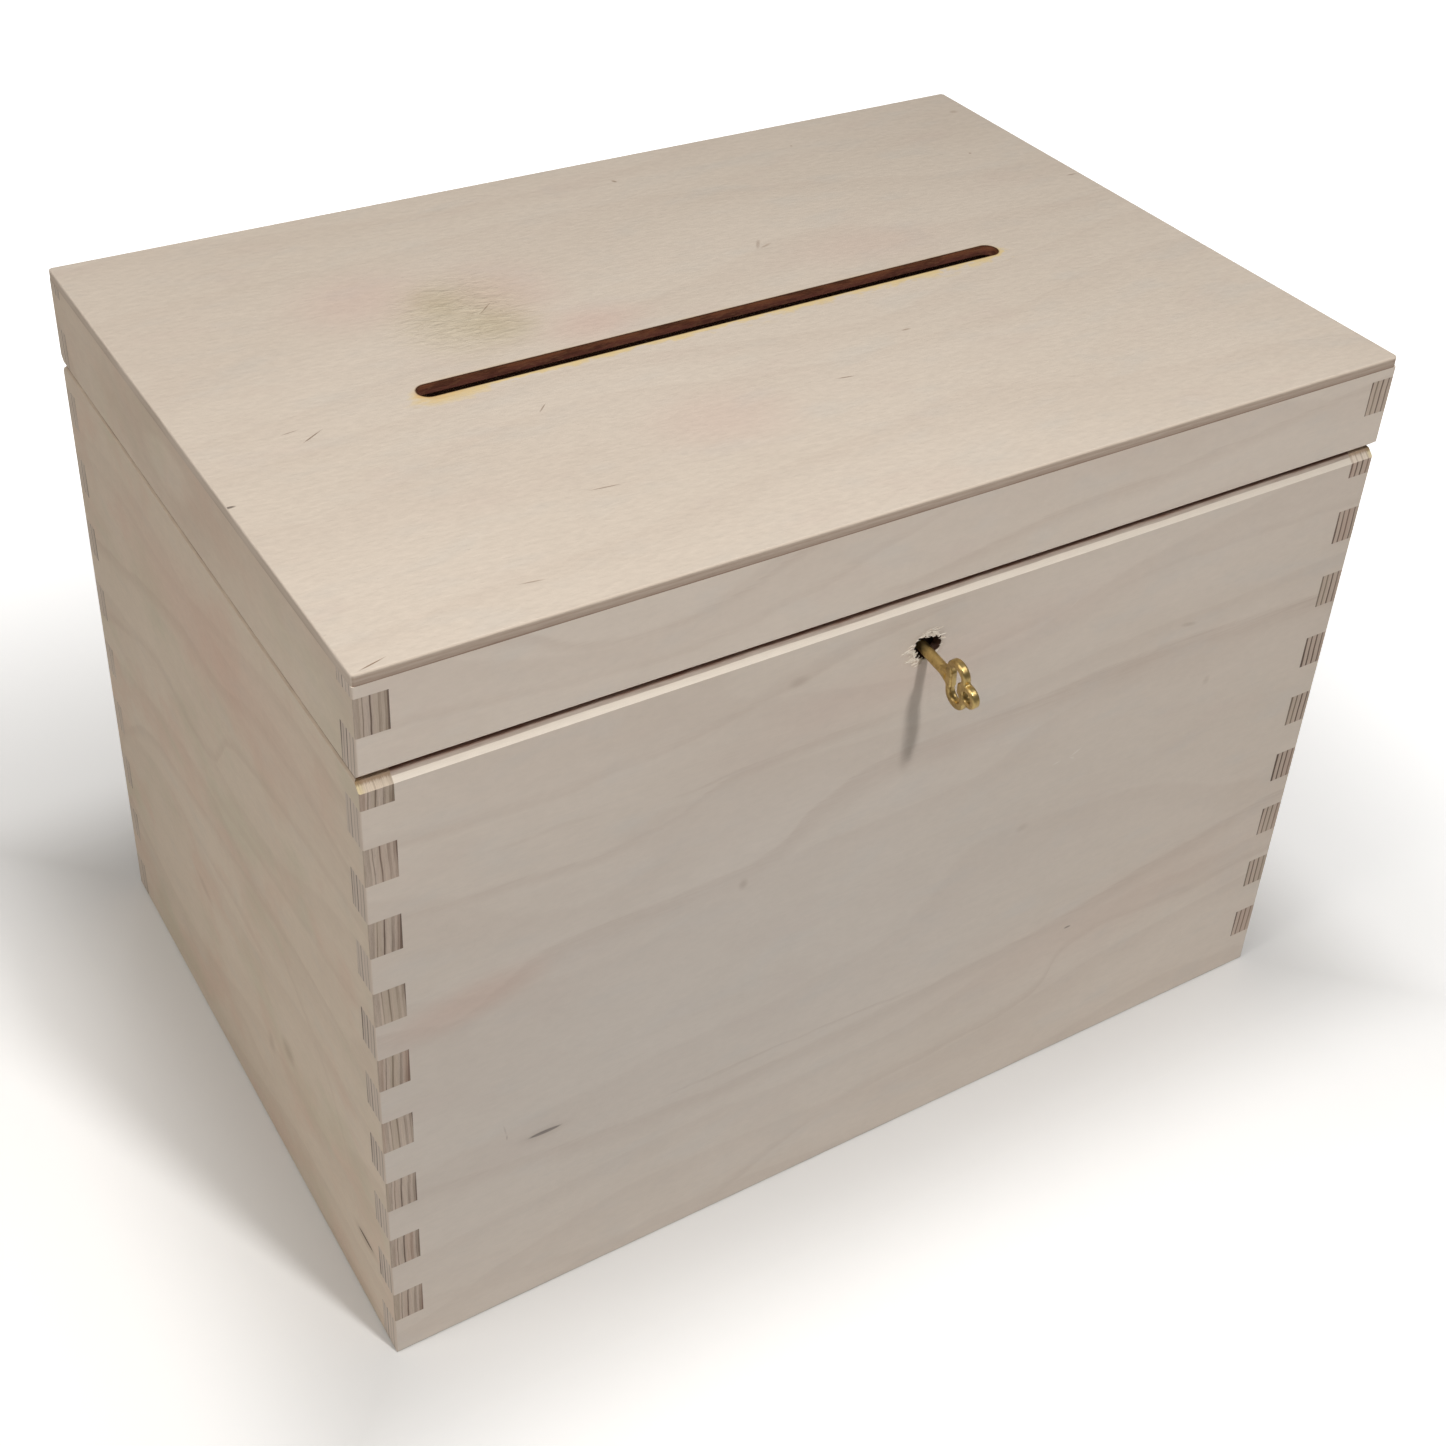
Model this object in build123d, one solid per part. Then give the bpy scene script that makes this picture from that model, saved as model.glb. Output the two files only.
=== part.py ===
from build123d import *
import os
from math import radians, tan, sin, cos

os.makedirs("parts", exist_ok=True)

# ------------------------------------------------------------------
# Letter box in finger-jointed plywood with a slotted, hinged lid and a
# small mortised box lock.  Millimetres.  Origin: centre of the underside.
# +X to the right along the front, +Y to the back, +Z up.
# ------------------------------------------------------------------

# ---- overall size -------------------------------------------------
W = 300.0            # length along the front
D = 205.0            # depth
H = 223.4            # height with the lid shut
T = 8.0              # five-ply wall
BASE_TOP = 194.5     # rim of the box
LID_BOT = 195.3      # lower edge of the lid
TOP_T = 3.0          # three-ply lid panel
RAIL_TOP = H - TOP_T
BOT_T = 3.0          # bottom panel, in a rebate
REBATE = 4.0         # rebate width all round
CORNER_R = 0.5       # eased upright corners

# ---- finger joints ------------------------------------------------
FINGER_TOP_Z = 187.28    # underside of the uppermost side-panel finger in the box
PITCH = 21.75
FINGER = 10.68
N_FINGERS = 9
LID_FINGER = (206.91, 217.31)

# ---- eased edges --------------------------------------------------
CH_BASE = 2.5        # 45 degree chamfer, front and back rim of the box
CH_LID_FRONT = 1.8   # lid lower front edge
CH_LID_BACK = 2.5    # lid lower back edge, lets the lid lean back
ARRIS = 0.5          # other edges, sanded

# ---- letter slot --------------------------------------------------
SLOT_L = 182.8
SLOT_W = 6.7
SLOT_X, SLOT_Y = 1.0, -2.6
SLOT_SKEW = 0.76     # degrees, the slot runs slightly out of square

# ---- lock, on the inside of the front panel -----------------------
XL = -1.0            # key axis, from the middle of the box
KEY_Z0 = 178.5       # height of the key axis at the front face
DROOP = 6.7          # degrees that the key hangs in the slack of the lock
HOLE_X, HOLE_Z, HOLE_R = -0.5, 179.25, 4.4   # drilled keyhole
PLATE_T = 0.8
PLATE_HW = 20.5      # half width of the lock plate
PLATE_Z0 = 169.5
CASE_HW = 15.6
CASE_Z0 = 171.3
CASE_WALL = 0.6
POCKET_Y = -99.5     # bottom of the lock pocket
BOLT_TRAVEL = 3.6
KEY_TURN = 60.0      # degrees
KEY_ROLL = 3.0       # the bit leans to the right at rest
BOW_TWIST = -11.0    # the bow sits a little out of line with the bit

# ---- hinges -------------------------------------------------------
HINGE_A = 2.4        # axis in from the back face
HY = D / 2 - HINGE_A
HZ = (BASE_TOP + LID_BOT) / 2
HINGE_X = 92.0       # hinge centres, left and right of the middle
HINGE_L = 25.0
BARREL_R = 1.9
PIN_R = 0.8
LEAF_T = 0.8

YF, YB = -D / 2, D / 2
XLF, XR = -W / 2, W / 2


def block(x0, x1, y0, y1, z0, z1):
    return Pos((x0 + x1) / 2, (y0 + y1) / 2, (z0 + z1) / 2) * Box(x1 - x0, y1 - y0, z1 - z0)


def arris_x(y, z, c, length=W + 20):
    """Square bar on edge: takes a 45 degree chamfer of c off an edge along X."""
    s = c * 2 ** 0.5
    return Pos(0, y, z) * Rot(45, 0, 0) * Box(length, s, s)


def arris_y(x, z, c, length=D + 20):
    s = c * 2 ** 0.5
    return Pos(x, 0, z) * Rot(0, 45, 0) * Box(s, length, s)


def rod_y(x, z, r, y0, y1):
    """Round bar along Y."""
    return Pos(x, (y0 + y1) / 2, z) * Rot(90, 0, 0) * Cylinder(r, y1 - y0)


def rod_x(y, z, r, x0, x1):
    return Pos((x0 + x1) / 2, y, z) * Rot(0, 90, 0) * Cylinder(r, x1 - x0)


def screw(head_r, shank_r, length, grow=0.0, slot=True):
    """Countersunk wood screw, head face at z = 0, shank towards -Z.
    With grow it is the hole that the screw sits in."""
    hh = head_r - shank_r
    profile = [(0, 0), (head_r + grow, 0), (shank_r + grow, -hh),
               (shank_r + grow, -length + 1.2), (0.0 + grow, -length)]
    if grow:
        profile.append((0, -length))
    face = make_face(Plane.XZ * Polyline(*profile, close=True))
    body = revolve(face, Axis.Z, 360)
    if slot and not grow:
        body = body - Pos(0, 0, 0) * Box(2 * head_r + 1, 0.4, 0.7)
    return body


def group(pieces):
    return Compound(children=[p if isinstance(p, Solid) else p.solid() for p in pieces])


def save(shape, name):
    shape.label = name
    export_step(shape, f"parts/{name}.step")


# ------------------------------------------------------------------
# outer envelopes: rounded uprights, chamfered and eased rims
# ------------------------------------------------------------------
base_env = extrude(RectangleRounded(W, D, CORNER_R), BASE_TOP)
base_env -= arris_x(YF, BASE_TOP, CH_BASE)
base_env -= arris_x(YB, BASE_TOP, CH_BASE)
base_env -= arris_y(XLF, BASE_TOP, ARRIS)
base_env -= arris_y(XR, BASE_TOP, ARRIS)
for y in (YF, YB):
    base_env -= arris_x(y, 0, ARRIS)
for x in (XLF, XR):
    base_env -= arris_y(x, 0, ARRIS)

lid_env = Pos(0, 0, LID_BOT) * extrude(RectangleRounded(W, D, CORNER_R), RAIL_TOP - LID_BOT)
lid_env -= arris_x(YF, LID_BOT, CH_LID_FRONT)
lid_env -= arris_x(YB, LID_BOT, CH_LID_BACK)
lid_env -= arris_y(XLF, LID_BOT, ARRIS)
lid_env -= arris_y(XR, LID_BOT, ARRIS)

# levels of the side-panel fingers in the box
levels = []
for k in range(N_FINGERS):
    z0 = FINGER_TOP_Z - PITCH * k
    z1 = BASE_TOP if k == 0 else z0 + FINGER
    levels.append((z0, z1))


def jointed_sides(z0, z1, lv, env):
    """Four walls with interlocking fingers: front, back, left, right."""
    corners = {}
    for sx in (-1, 1):
        for sy in (-1, 1):
            xs = sorted((sx * W / 2, sx * (W / 2 - T)))
            ys = sorted((sy * D / 2, sy * (D / 2 - T)))
            corners[(sx, sy)] = [block(xs[0], xs[1], ys[0], ys[1], a, b) for a, b in lv]
    front = block(XLF, XR, YF, YF + T, z0, z1)
    back = block(XLF, XR, YB - T, YB, z0, z1)
    left = block(XLF, XLF + T, YF + T, YB - T, z0, z1)
    right = block(XR - T, XR, YF + T, YB - T, z0, z1)
    for sx in (-1, 1):
        for f in corners[(sx, -1)]:
            front -= f
        for f in corners[(sx, 1)]:
            back -= f
    for sy in (-1, 1):
        for f in corners[(-1, sy)]:
            left += f
        for f in corners[(1, sy)]:
            right += f
    return [s & env for s in (front, back, left, right)]


front, back, left, right = jointed_sides(0, BASE_TOP, levels, base_env)
rebate = block(XLF + T - REBATE, XR - T + REBATE, YF + T - REBATE, YB - T + REBATE, -1, BOT_T)
front -= rebate
back -= rebate
left -= rebate
right -= rebate
bottom = block(XLF + T - REBATE + 0.05, XR - T + REBATE - 0.05,
               YF + T - REBATE + 0.05, YB - T + REBATE - 0.05, 0, BOT_T)

lid_front, lid_back, lid_left, lid_right = jointed_sides(LID_BOT, RAIL_TOP, [LID_FINGER], lid_env)

# ------------------------------------------------------------------
# lid panel with the letter slot
# ------------------------------------------------------------------
top = block(XLF, XR, YF, YB, RAIL_TOP, H)
uprights = top.edges().filter_by(Axis.Z)
top = fillet([e for e in uprights if e.center().X < 0], 1.0)
uprights = top.edges().filter_by(Axis.Z)
top = fillet([e for e in uprights if e.center().X > XR - 1 and e.length > 2], 1.5)
top = fillet(top.faces().sort_by(Axis.Z)[-1].edges(), 0.5)
slot = Pos(SLOT_X, SLOT_Y, RAIL_TOP - 1) * Rot(0, 0, SLOT_SKEW) * extrude(SlotOverall(SLOT_L, SLOT_W), TOP_T + 2)
top -= slot

# ------------------------------------------------------------------
# lock
# ------------------------------------------------------------------
yi = YF + T                       # inner face of the front panel
plate_y0 = yi - PLATE_T           # front face of the lock plate
case_y0 = POCKET_Y + 0.1          # outer front face of the case
cav_y0 = case_y0 + CASE_WALL      # front wall of the works
cav_y1 = plate_y0                 # rear wall of the works
ym = (cav_y0 + cav_y1) / 2        # middle plane of bolt and hooks
flange_z0 = BASE_TOP - PLATE_T


def key_z(y):
    """Height of the drooping key axis at a given y."""
    return KEY_Z0 + (y - YF) * tan(radians(DROOP))


pin_z = key_z(-97.0)

# hooks of the lid plate: two ears, each with an eye for the bolt
EAR_X = (XL - 8.0, XL + 7.0)
EAR_T = 0.9
ear_y0, ear_y1 = ym - 1.4, ym + 1.4
EAR_Z0 = 186.6
eye_y0, eye_y1 = ym - 0.8, ym + 0.8
eye_z0, eye_z1 = 187.8, 190.3

# pocket and keyhole in the front panel
front -= block(XL - PLATE_HW - 0.1, XL + PLATE_HW + 0.1, plate_y0, yi + 1, PLATE_Z0 - 0.1, BASE_TOP + 1)
front -= block(XL - PLATE_HW - 0.1, XL + PLATE_HW + 0.1, POCKET_Y, yi + 1, flange_z0, BASE_TOP + 1)
front -= block(XL - CASE_HW - 0.2, XL + CASE_HW + 0.2, POCKET_Y, yi + 1, CASE_Z0 - 0.2, BASE_TOP)
front -= rod_y(HOLE_X, HOLE_Z, HOLE_R, YF - 1, POCKET_Y + 0.5)

# plate with the flange that lies in the rim
lock_plate = block(XL - PLATE_HW, XL + PLATE_HW, plate_y0, yi, PLATE_Z0, BASE_TOP)
lock_plate += block(XL - PLATE_HW, XL + PLATE_HW, POCKET_Y, yi, flange_z0, BASE_TOP)
for ex in EAR_X:
    lock_plate -= block(ex - EAR_T / 2 - 0.35, ex + EAR_T / 2 + 0.35, cav_y0, cav_y1, flange_z0 - 1, BASE_TOP + 1)
lock_screw_at = [(XL + sx * 18.0, z) for sx in (-1, 1) for z in (172.3, 190.6)]
lock_screws = []
for sx, sz in lock_screw_at:
    loc = Pos(sx, yi, sz) * Rot(-90, 0, 0)        # head faces +Y, into the box
    lock_screws.append(loc * screw(1.8, 1.0, 6.0))
    hole = loc * screw(1.8, 1.0, 6.0, grow=0.03)
    lock_plate -= hole
    front -= hole
lock_plate -= rod_y(XL, pin_z, 0.45, plate_y0 - 0.1, yi + 0.1)

# case: a stamped pan, open towards the plate and closed above by the flange
lock_case = block(XL - CASE_HW, XL + CASE_HW, case_y0, plate_y0, CASE_Z0, flange_z0)
lock_case -= block(XL - CASE_HW + CASE_WALL, XL + CASE_HW - CASE_WALL, cav_y0, plate_y0 + 1,
                   CASE_Z0 + CASE_WALL, flange_z0 + 1)
kz = key_z(case_y0 + CASE_WALL / 2)
lock_case -= rod_y(XL, kz, 2.0, case_y0 - 1, cav_y0 + 1)
keyway = Pos(XL, (case_y0 + cav_y0) / 2, kz) * Rot(0, KEY_ROLL, 0) * Pos(0, 0, 2.55) * Box(2.3, 3, 5.1)
lock_case -= keyway

# hollow-key pin, riveted through the plate
key_pin = rod_y(XL, pin_z, 0.6, -98.6, plate_y0) + rod_y(XL, pin_z, 0.44, plate_y0 - 0.2, yi)

# bolt
bx = lambda v: XL + v
by0, by1 = ym - 0.5, ym + 0.5
BAR_Z0, BAR_Z1 = 181.1, 185.9
bolt = block(bx(-14.6), bx(9.5), by0, by1, BAR_Z0, BAR_Z1)
bolt += block(bx(-14.6), bx(-12.6), by0, by1, BAR_Z0, 189.85)
bolt += block(bx(-14.6), bx(-8.85), by0, by1, 188.25, 189.85)
bolt += block(bx(0.6), bx(2.6), by0, by1, BAR_Z0, 189.85)
bolt += block(bx(0.6), bx(6.15), by0, by1, 188.25, 189.85)
bolt -= block(bx(-2.1), bx(1.3), by0 - 1, by1 + 1, BAR_Z0 - 1, 183.75)      # talon
POST_Z = 184.0
post_x = []
for xs in (-12.4, 3.2):
    slot_b = Pos(bx(xs + 2.7), ym, POST_Z) * Rot(90, 0, 0) * extrude(SlotOverall(5.4, 1.7), 2, both=True)
    bolt -= slot_b
    post_x.append(bx(xs + 4.5))

# guide posts for the bolt, with a shoulder towards the case
posts = []
for px in post_x:
    posts.append(rod_y(px, POST_Z, 0.7, cav_y0, cav_y1) + rod_y(px, POST_Z, 1.15, cav_y0, by0 - 0.2))

# leaf spring under the flange, bearing down on the bolt
sp = [(-6.9, 193.7), (-2.95, 193.7), (-1.3, 188.3), (-0.9, 186.85), (-0.2, 186.6), (-0.3, 186.3),
      (-1.15, 186.55), (-1.6, 188.2), (-3.2, 193.4), (-6.9, 193.4)]
lock_spring = Pos(XL, ym, 0) * extrude(make_face(Plane.XZ * Polyline(*sp, close=True)), 1.1, both=True)

# plate with hooks, in the lower edge of the lid's front rail
hook_plate = block(XL - PLATE_HW, XL + PLATE_HW, POCKET_Y, yi, LID_BOT, LID_BOT + PLATE_T)
for ex in EAR_X:
    ear = block(ex - EAR_T / 2, ex + EAR_T / 2, ear_y0, ear_y1, EAR_Z0, LID_BOT + 0.2)
    low = ear.edges().filter_by(Axis.X).sort_by(Axis.Z)[:2]
    ear = fillet(low, 0.9)
    ear -= block(ex - 1, ex + 1, eye_y0, eye_y1, eye_z0, eye_z1)
    hook_plate += ear
lid_front -= block(XL - PLATE_HW - 0.1, XL + PLATE_HW + 0.1, POCKET_Y, yi + 1, LID_BOT - 1, LID_BOT + PLATE_T)
hook_screws = []
for sx in (XL - 16.5, XL + 16.5):
    loc = Pos(sx, ym, LID_BOT) * Rot(180, 0, 0)
    hook_screws.append(loc * screw(1.8, 1.0, 9.0))
    hole = loc * screw(1.8, 1.0, 9.0, grow=0.03)
    hook_plate -= hole
    lid_front -= hole

# ------------------------------------------------------------------
# key: hollow shank, bit and pierced clover bow, one casting.
# Built along local -Y from the origin on its axis at the front face.
# ------------------------------------------------------------------
SHANK_R = 1.5
KEY_TIP = 6.7         # behind the front face
shank = rod_y(0, 0, SHANK_R, -9.9, KEY_TIP)
shank = chamfer(shank.faces().sort_by(Axis.Y)[-1].edges(), 0.3)
bore = rod_y(0, 0, 0.95, 2.2, KEY_TIP + 1)
bit = block(-0.7, 0.7, 4.6, 6.4, 0.6, 4.2)

# bow outline, in the plane of the bit: (distance out from the front face, height)
SIDE_A, SIDE_H, SIDE_R = 13.8, 4.0, 3.7
END_A, END_R = 18.5, 3.2
BOW_T = 2.2
BOW_FILLET = 0.6
outline = Pos(SIDE_A, 0) * Rot(0, 0, 90) * SlotOverall(2 * (SIDE_H + SIDE_R), 2 * SIDE_R)
outline += Pos(END_A, 0) * Circle(END_R)
outline += make_face(Polyline((7.2, -1.35), (10.8, -2.7), (10.8, 2.7), (7.2, 1.35), close=True))


def soften(sketch, pick, r):
    """Round the picked corners of a flat outline."""
    corners = [v for v in sketch.vertices() if pick(v)]
    return fillet(corners, r) if corners else sketch


outline = soften(outline, lambda v: v.X > 15.5, 0.5)
outline = soften(outline, lambda v: 8.2 < v.X < 10.5 and abs(v.Y) < 2.9, 1.0)
bean = Pos(13.8, 3.5) * Circle(2.05) + Pos(13.8, -3.5) * Circle(2.05) + Pos(13.3, 0) * Rectangle(2.4, 6.6)
bean = soften(bean, lambda v: True, 0.5)
eye = Pos(18.5, 0) * Circle(1.55)
bow = extrude(outline - bean - eye, BOW_T / 2, both=True)
# local sketch x -> -Y (out), sketch y -> +Z (up)
bow = Plane(origin=(0, 0, 0), x_dir=(0, -1, 0), z_dir=(-1, 0, 0)).location * bow
rim = [e for f in bow.faces().filter_by(Axis.X) for e in f.edges() if e.center().Y < -8.0]
bow = Rot(0, BOW_TWIST, 0) * fillet(rim, BOW_FILLET)
key = shank + bow + bit - bore
key = Rot(0, KEY_ROLL, 0) * key
key = Pos(XL, YF, KEY_Z0) * Rot(DROOP, 0, 0) * key

# ------------------------------------------------------------------
# hinges: 25 mm butt hinges let into the two back edges
# ------------------------------------------------------------------
GAP_X = 0.2
kn = HINGE_L / 5
leaf_y0 = YB - T + 0.2
lower_z0, lower_z1 = HZ - 0.15 - LEAF_T, HZ - 0.15
upper_z0, upper_z1 = HZ + 0.15, HZ + 0.15 + LEAF_T
lower_screws, upper_screws = [], []


def hinge(cx, tag):
    global back, lid_back
    x0 = cx - HINGE_L / 2
    own = {"lower": (0, 2, 4), "upper": (1, 3)}
    leaves = {}
    for side, (za, zb) in (("lower", (lower_z0, lower_z1)), ("upper", (upper_z0, upper_z1))):
        leaf = block(x0, x0 + HINGE_L, leaf_y0, HY, za, zb)
        for k in range(5):
            a, b = x0 + k * kn, x0 + (k + 1) * kn
            if k in own[side]:
                aa = a + (GAP_X / 2 if k else 0)
                bb = b - (GAP_X / 2 if k < 4 else 0)
                leaf += rod_x(HY, HZ, BARREL_R, aa, bb)
            else:
                leaf -= block(a - GAP_X / 2, b + GAP_X / 2, HY - BARREL_R - 0.3, HY + 1, za - 1, zb + 1)
                # clear the space of the other leaf's knuckle
        bore_r = PIN_R + (0.01 if side == "lower" else 0.05)
        leaf -= rod_x(HY, HZ, bore_r, x0 - 1, x0 + HINGE_L + 1)
        leaves[side] = leaf
    for k in (0, 4):
        sx = x0 + (k + 0.5) * kn
        loc = Pos(sx, 96.7, lower_z1)
        lower_screws.append(loc * screw(1.35, 0.75, 7.0))
        hole = loc * screw(1.35, 0.75, 7.0, grow=0.03)
        leaves["lower"] -= hole
        back -= hole
    for k in (1, 3):
        sx = x0 + (k + 0.5) * kn
        loc = Pos(sx, 96.7, upper_z0) * Rot(180, 0, 0)
        upper_screws.append(loc * screw(1.35, 0.75, 7.0))
        hole = loc * screw(1.35, 0.75, 7.0, grow=0.03)
        leaves["upper"] -= hole
        lid_back -= hole
    # recesses in the wood
    rx0, rx1 = x0 - 0.25, x0 + HINGE_L + 0.25
    back -= block(rx0, rx1, YB - T - 1, YB + 1, lower_z0, BASE_TOP + 1)
    back -= rod_x(HY, HZ, BARREL_R + 0.3, rx0, rx1)
    lid_back -= block(rx0, rx1, YB - T - 1, YB + 1, LID_BOT - 1, upper_z1)
    lid_back -= rod_x(HY, HZ, BARREL_R + 0.3, rx0, rx1)
    pin = rod_x(HY, HZ, PIN_R, x0 + 0.05, x0 + HINGE_L - 0.05)
    pin = chamfer(pin.edges().filter_by(GeomType.CIRCLE), 0.2)
    save(leaves["lower"], f"hinge_lower_leaf_{tag}")
    save(leaves["upper"], f"hinge_upper_leaf_{tag}")
    save(pin, f"hinge_pin_{tag}")


hinge(-HINGE_X, "left")
hinge(HINGE_X, "right")

# ------------------------------------------------------------------
save(front, "front_panel")
save(back, "back_panel")
save(left, "left_panel")
save(right, "right_panel")
save(bottom, "bottom_panel")
save(top, "lid_top_panel")
save(lid_front, "lid_front_rail")
save(lid_back, "lid_back_rail")
save(lid_left, "lid_left_rail")
save(lid_right, "lid_right_rail")
save(lock_plate, "lock_plate")
save(lock_case, "lock_case")
save(key_pin, "lock_key_pin")
save(group(posts), "lock_guide_posts")
save(lock_spring, "lock_spring")
save(group(lock_screws), "lock_screws")
save(bolt, "lock_bolt")
save(hook_plate, "lid_hook_plate")
save(group(hook_screws), "hook_plate_screws")
save(key, "key")
save(group(lower_screws), "hinge_lower_screws")
save(group(upper_screws), "hinge_upper_screws")
print("key axis", XL, YF, KEY_Z0, "pin z", round(pin_z, 3), "hinge axis", HY, HZ)
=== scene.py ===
import math
import random

import bmesh
import bpy
from mathutils import Matrix, Vector
from mathutils.geometry import delaunay_2d_cdt


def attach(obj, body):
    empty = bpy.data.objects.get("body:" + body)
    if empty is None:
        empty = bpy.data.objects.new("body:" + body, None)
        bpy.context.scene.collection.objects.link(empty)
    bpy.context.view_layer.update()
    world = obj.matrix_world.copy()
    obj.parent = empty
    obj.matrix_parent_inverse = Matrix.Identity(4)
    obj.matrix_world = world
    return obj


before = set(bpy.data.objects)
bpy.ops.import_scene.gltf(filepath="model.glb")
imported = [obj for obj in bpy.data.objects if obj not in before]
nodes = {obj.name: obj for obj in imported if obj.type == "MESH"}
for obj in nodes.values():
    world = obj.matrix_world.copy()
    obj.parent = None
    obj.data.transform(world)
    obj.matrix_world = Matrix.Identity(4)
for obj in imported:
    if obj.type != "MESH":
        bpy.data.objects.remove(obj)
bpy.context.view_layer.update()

random.seed(7)


# ------------------------------------------------------------------
# colours
# ------------------------------------------------------------------
def lin(r, g, b):
    """sRGB 0-255 as a linear colour."""

    def f(c):
        c /= 255.0
        return c / 12.92 if c <= 0.04045 else ((c + 0.055) / 1.055) ** 2.4

    return (f(r), f(g), f(b), 1.0)


# ------------------------------------------------------------------
# a small language for node trees
# ------------------------------------------------------------------
class V:
    """A scalar socket that can be added, multiplied and so on."""

    def __init__(self, t, s):
        self.t, self.s = t, s

    def __add__(self, o):
        return self.t.math("ADD", self, o)

    __radd__ = __add__

    def __sub__(self, o):
        return self.t.math("SUBTRACT", self, o)

    def __rsub__(self, o):
        return self.t.math("SUBTRACT", o, self)

    def __mul__(self, o):
        return self.t.math("MULTIPLY", self, o)

    __rmul__ = __mul__

    def __truediv__(self, o):
        return self.t.math("DIVIDE", self, o)

    def __neg__(self):
        return self.t.math("MULTIPLY", self, -1.0)

    def abs(self):
        return self.t.math("ABSOLUTE", self)

    def fract(self):
        return self.t.math("FRACT", self)

    def floor(self):
        return self.t.math("FLOOR", self)

    def pow(self, k):
        return self.t.math("POWER", self, k)

    def max(self, o):
        return self.t.math("MAXIMUM", self, o)

    def min(self, o):
        return self.t.math("MINIMUM", self, o)

    def above(self, o):
        return self.t.math("GREATER_THAN", self, o)

    def below(self, o):
        return self.t.math("LESS_THAN", self, o)

    def inv(self):
        return self.t.math("SUBTRACT", 1.0, self)

    def ss(self, a, b, c=0.0, d=1.0):
        """c below a, d above b, smooth in between."""
        return self.t.mr(self, a, b, c, d, "SMOOTHSTEP")

    def lr(self, a, b, c=0.0, d=1.0):
        return self.t.mr(self, a, b, c, d, "LINEAR")


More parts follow.
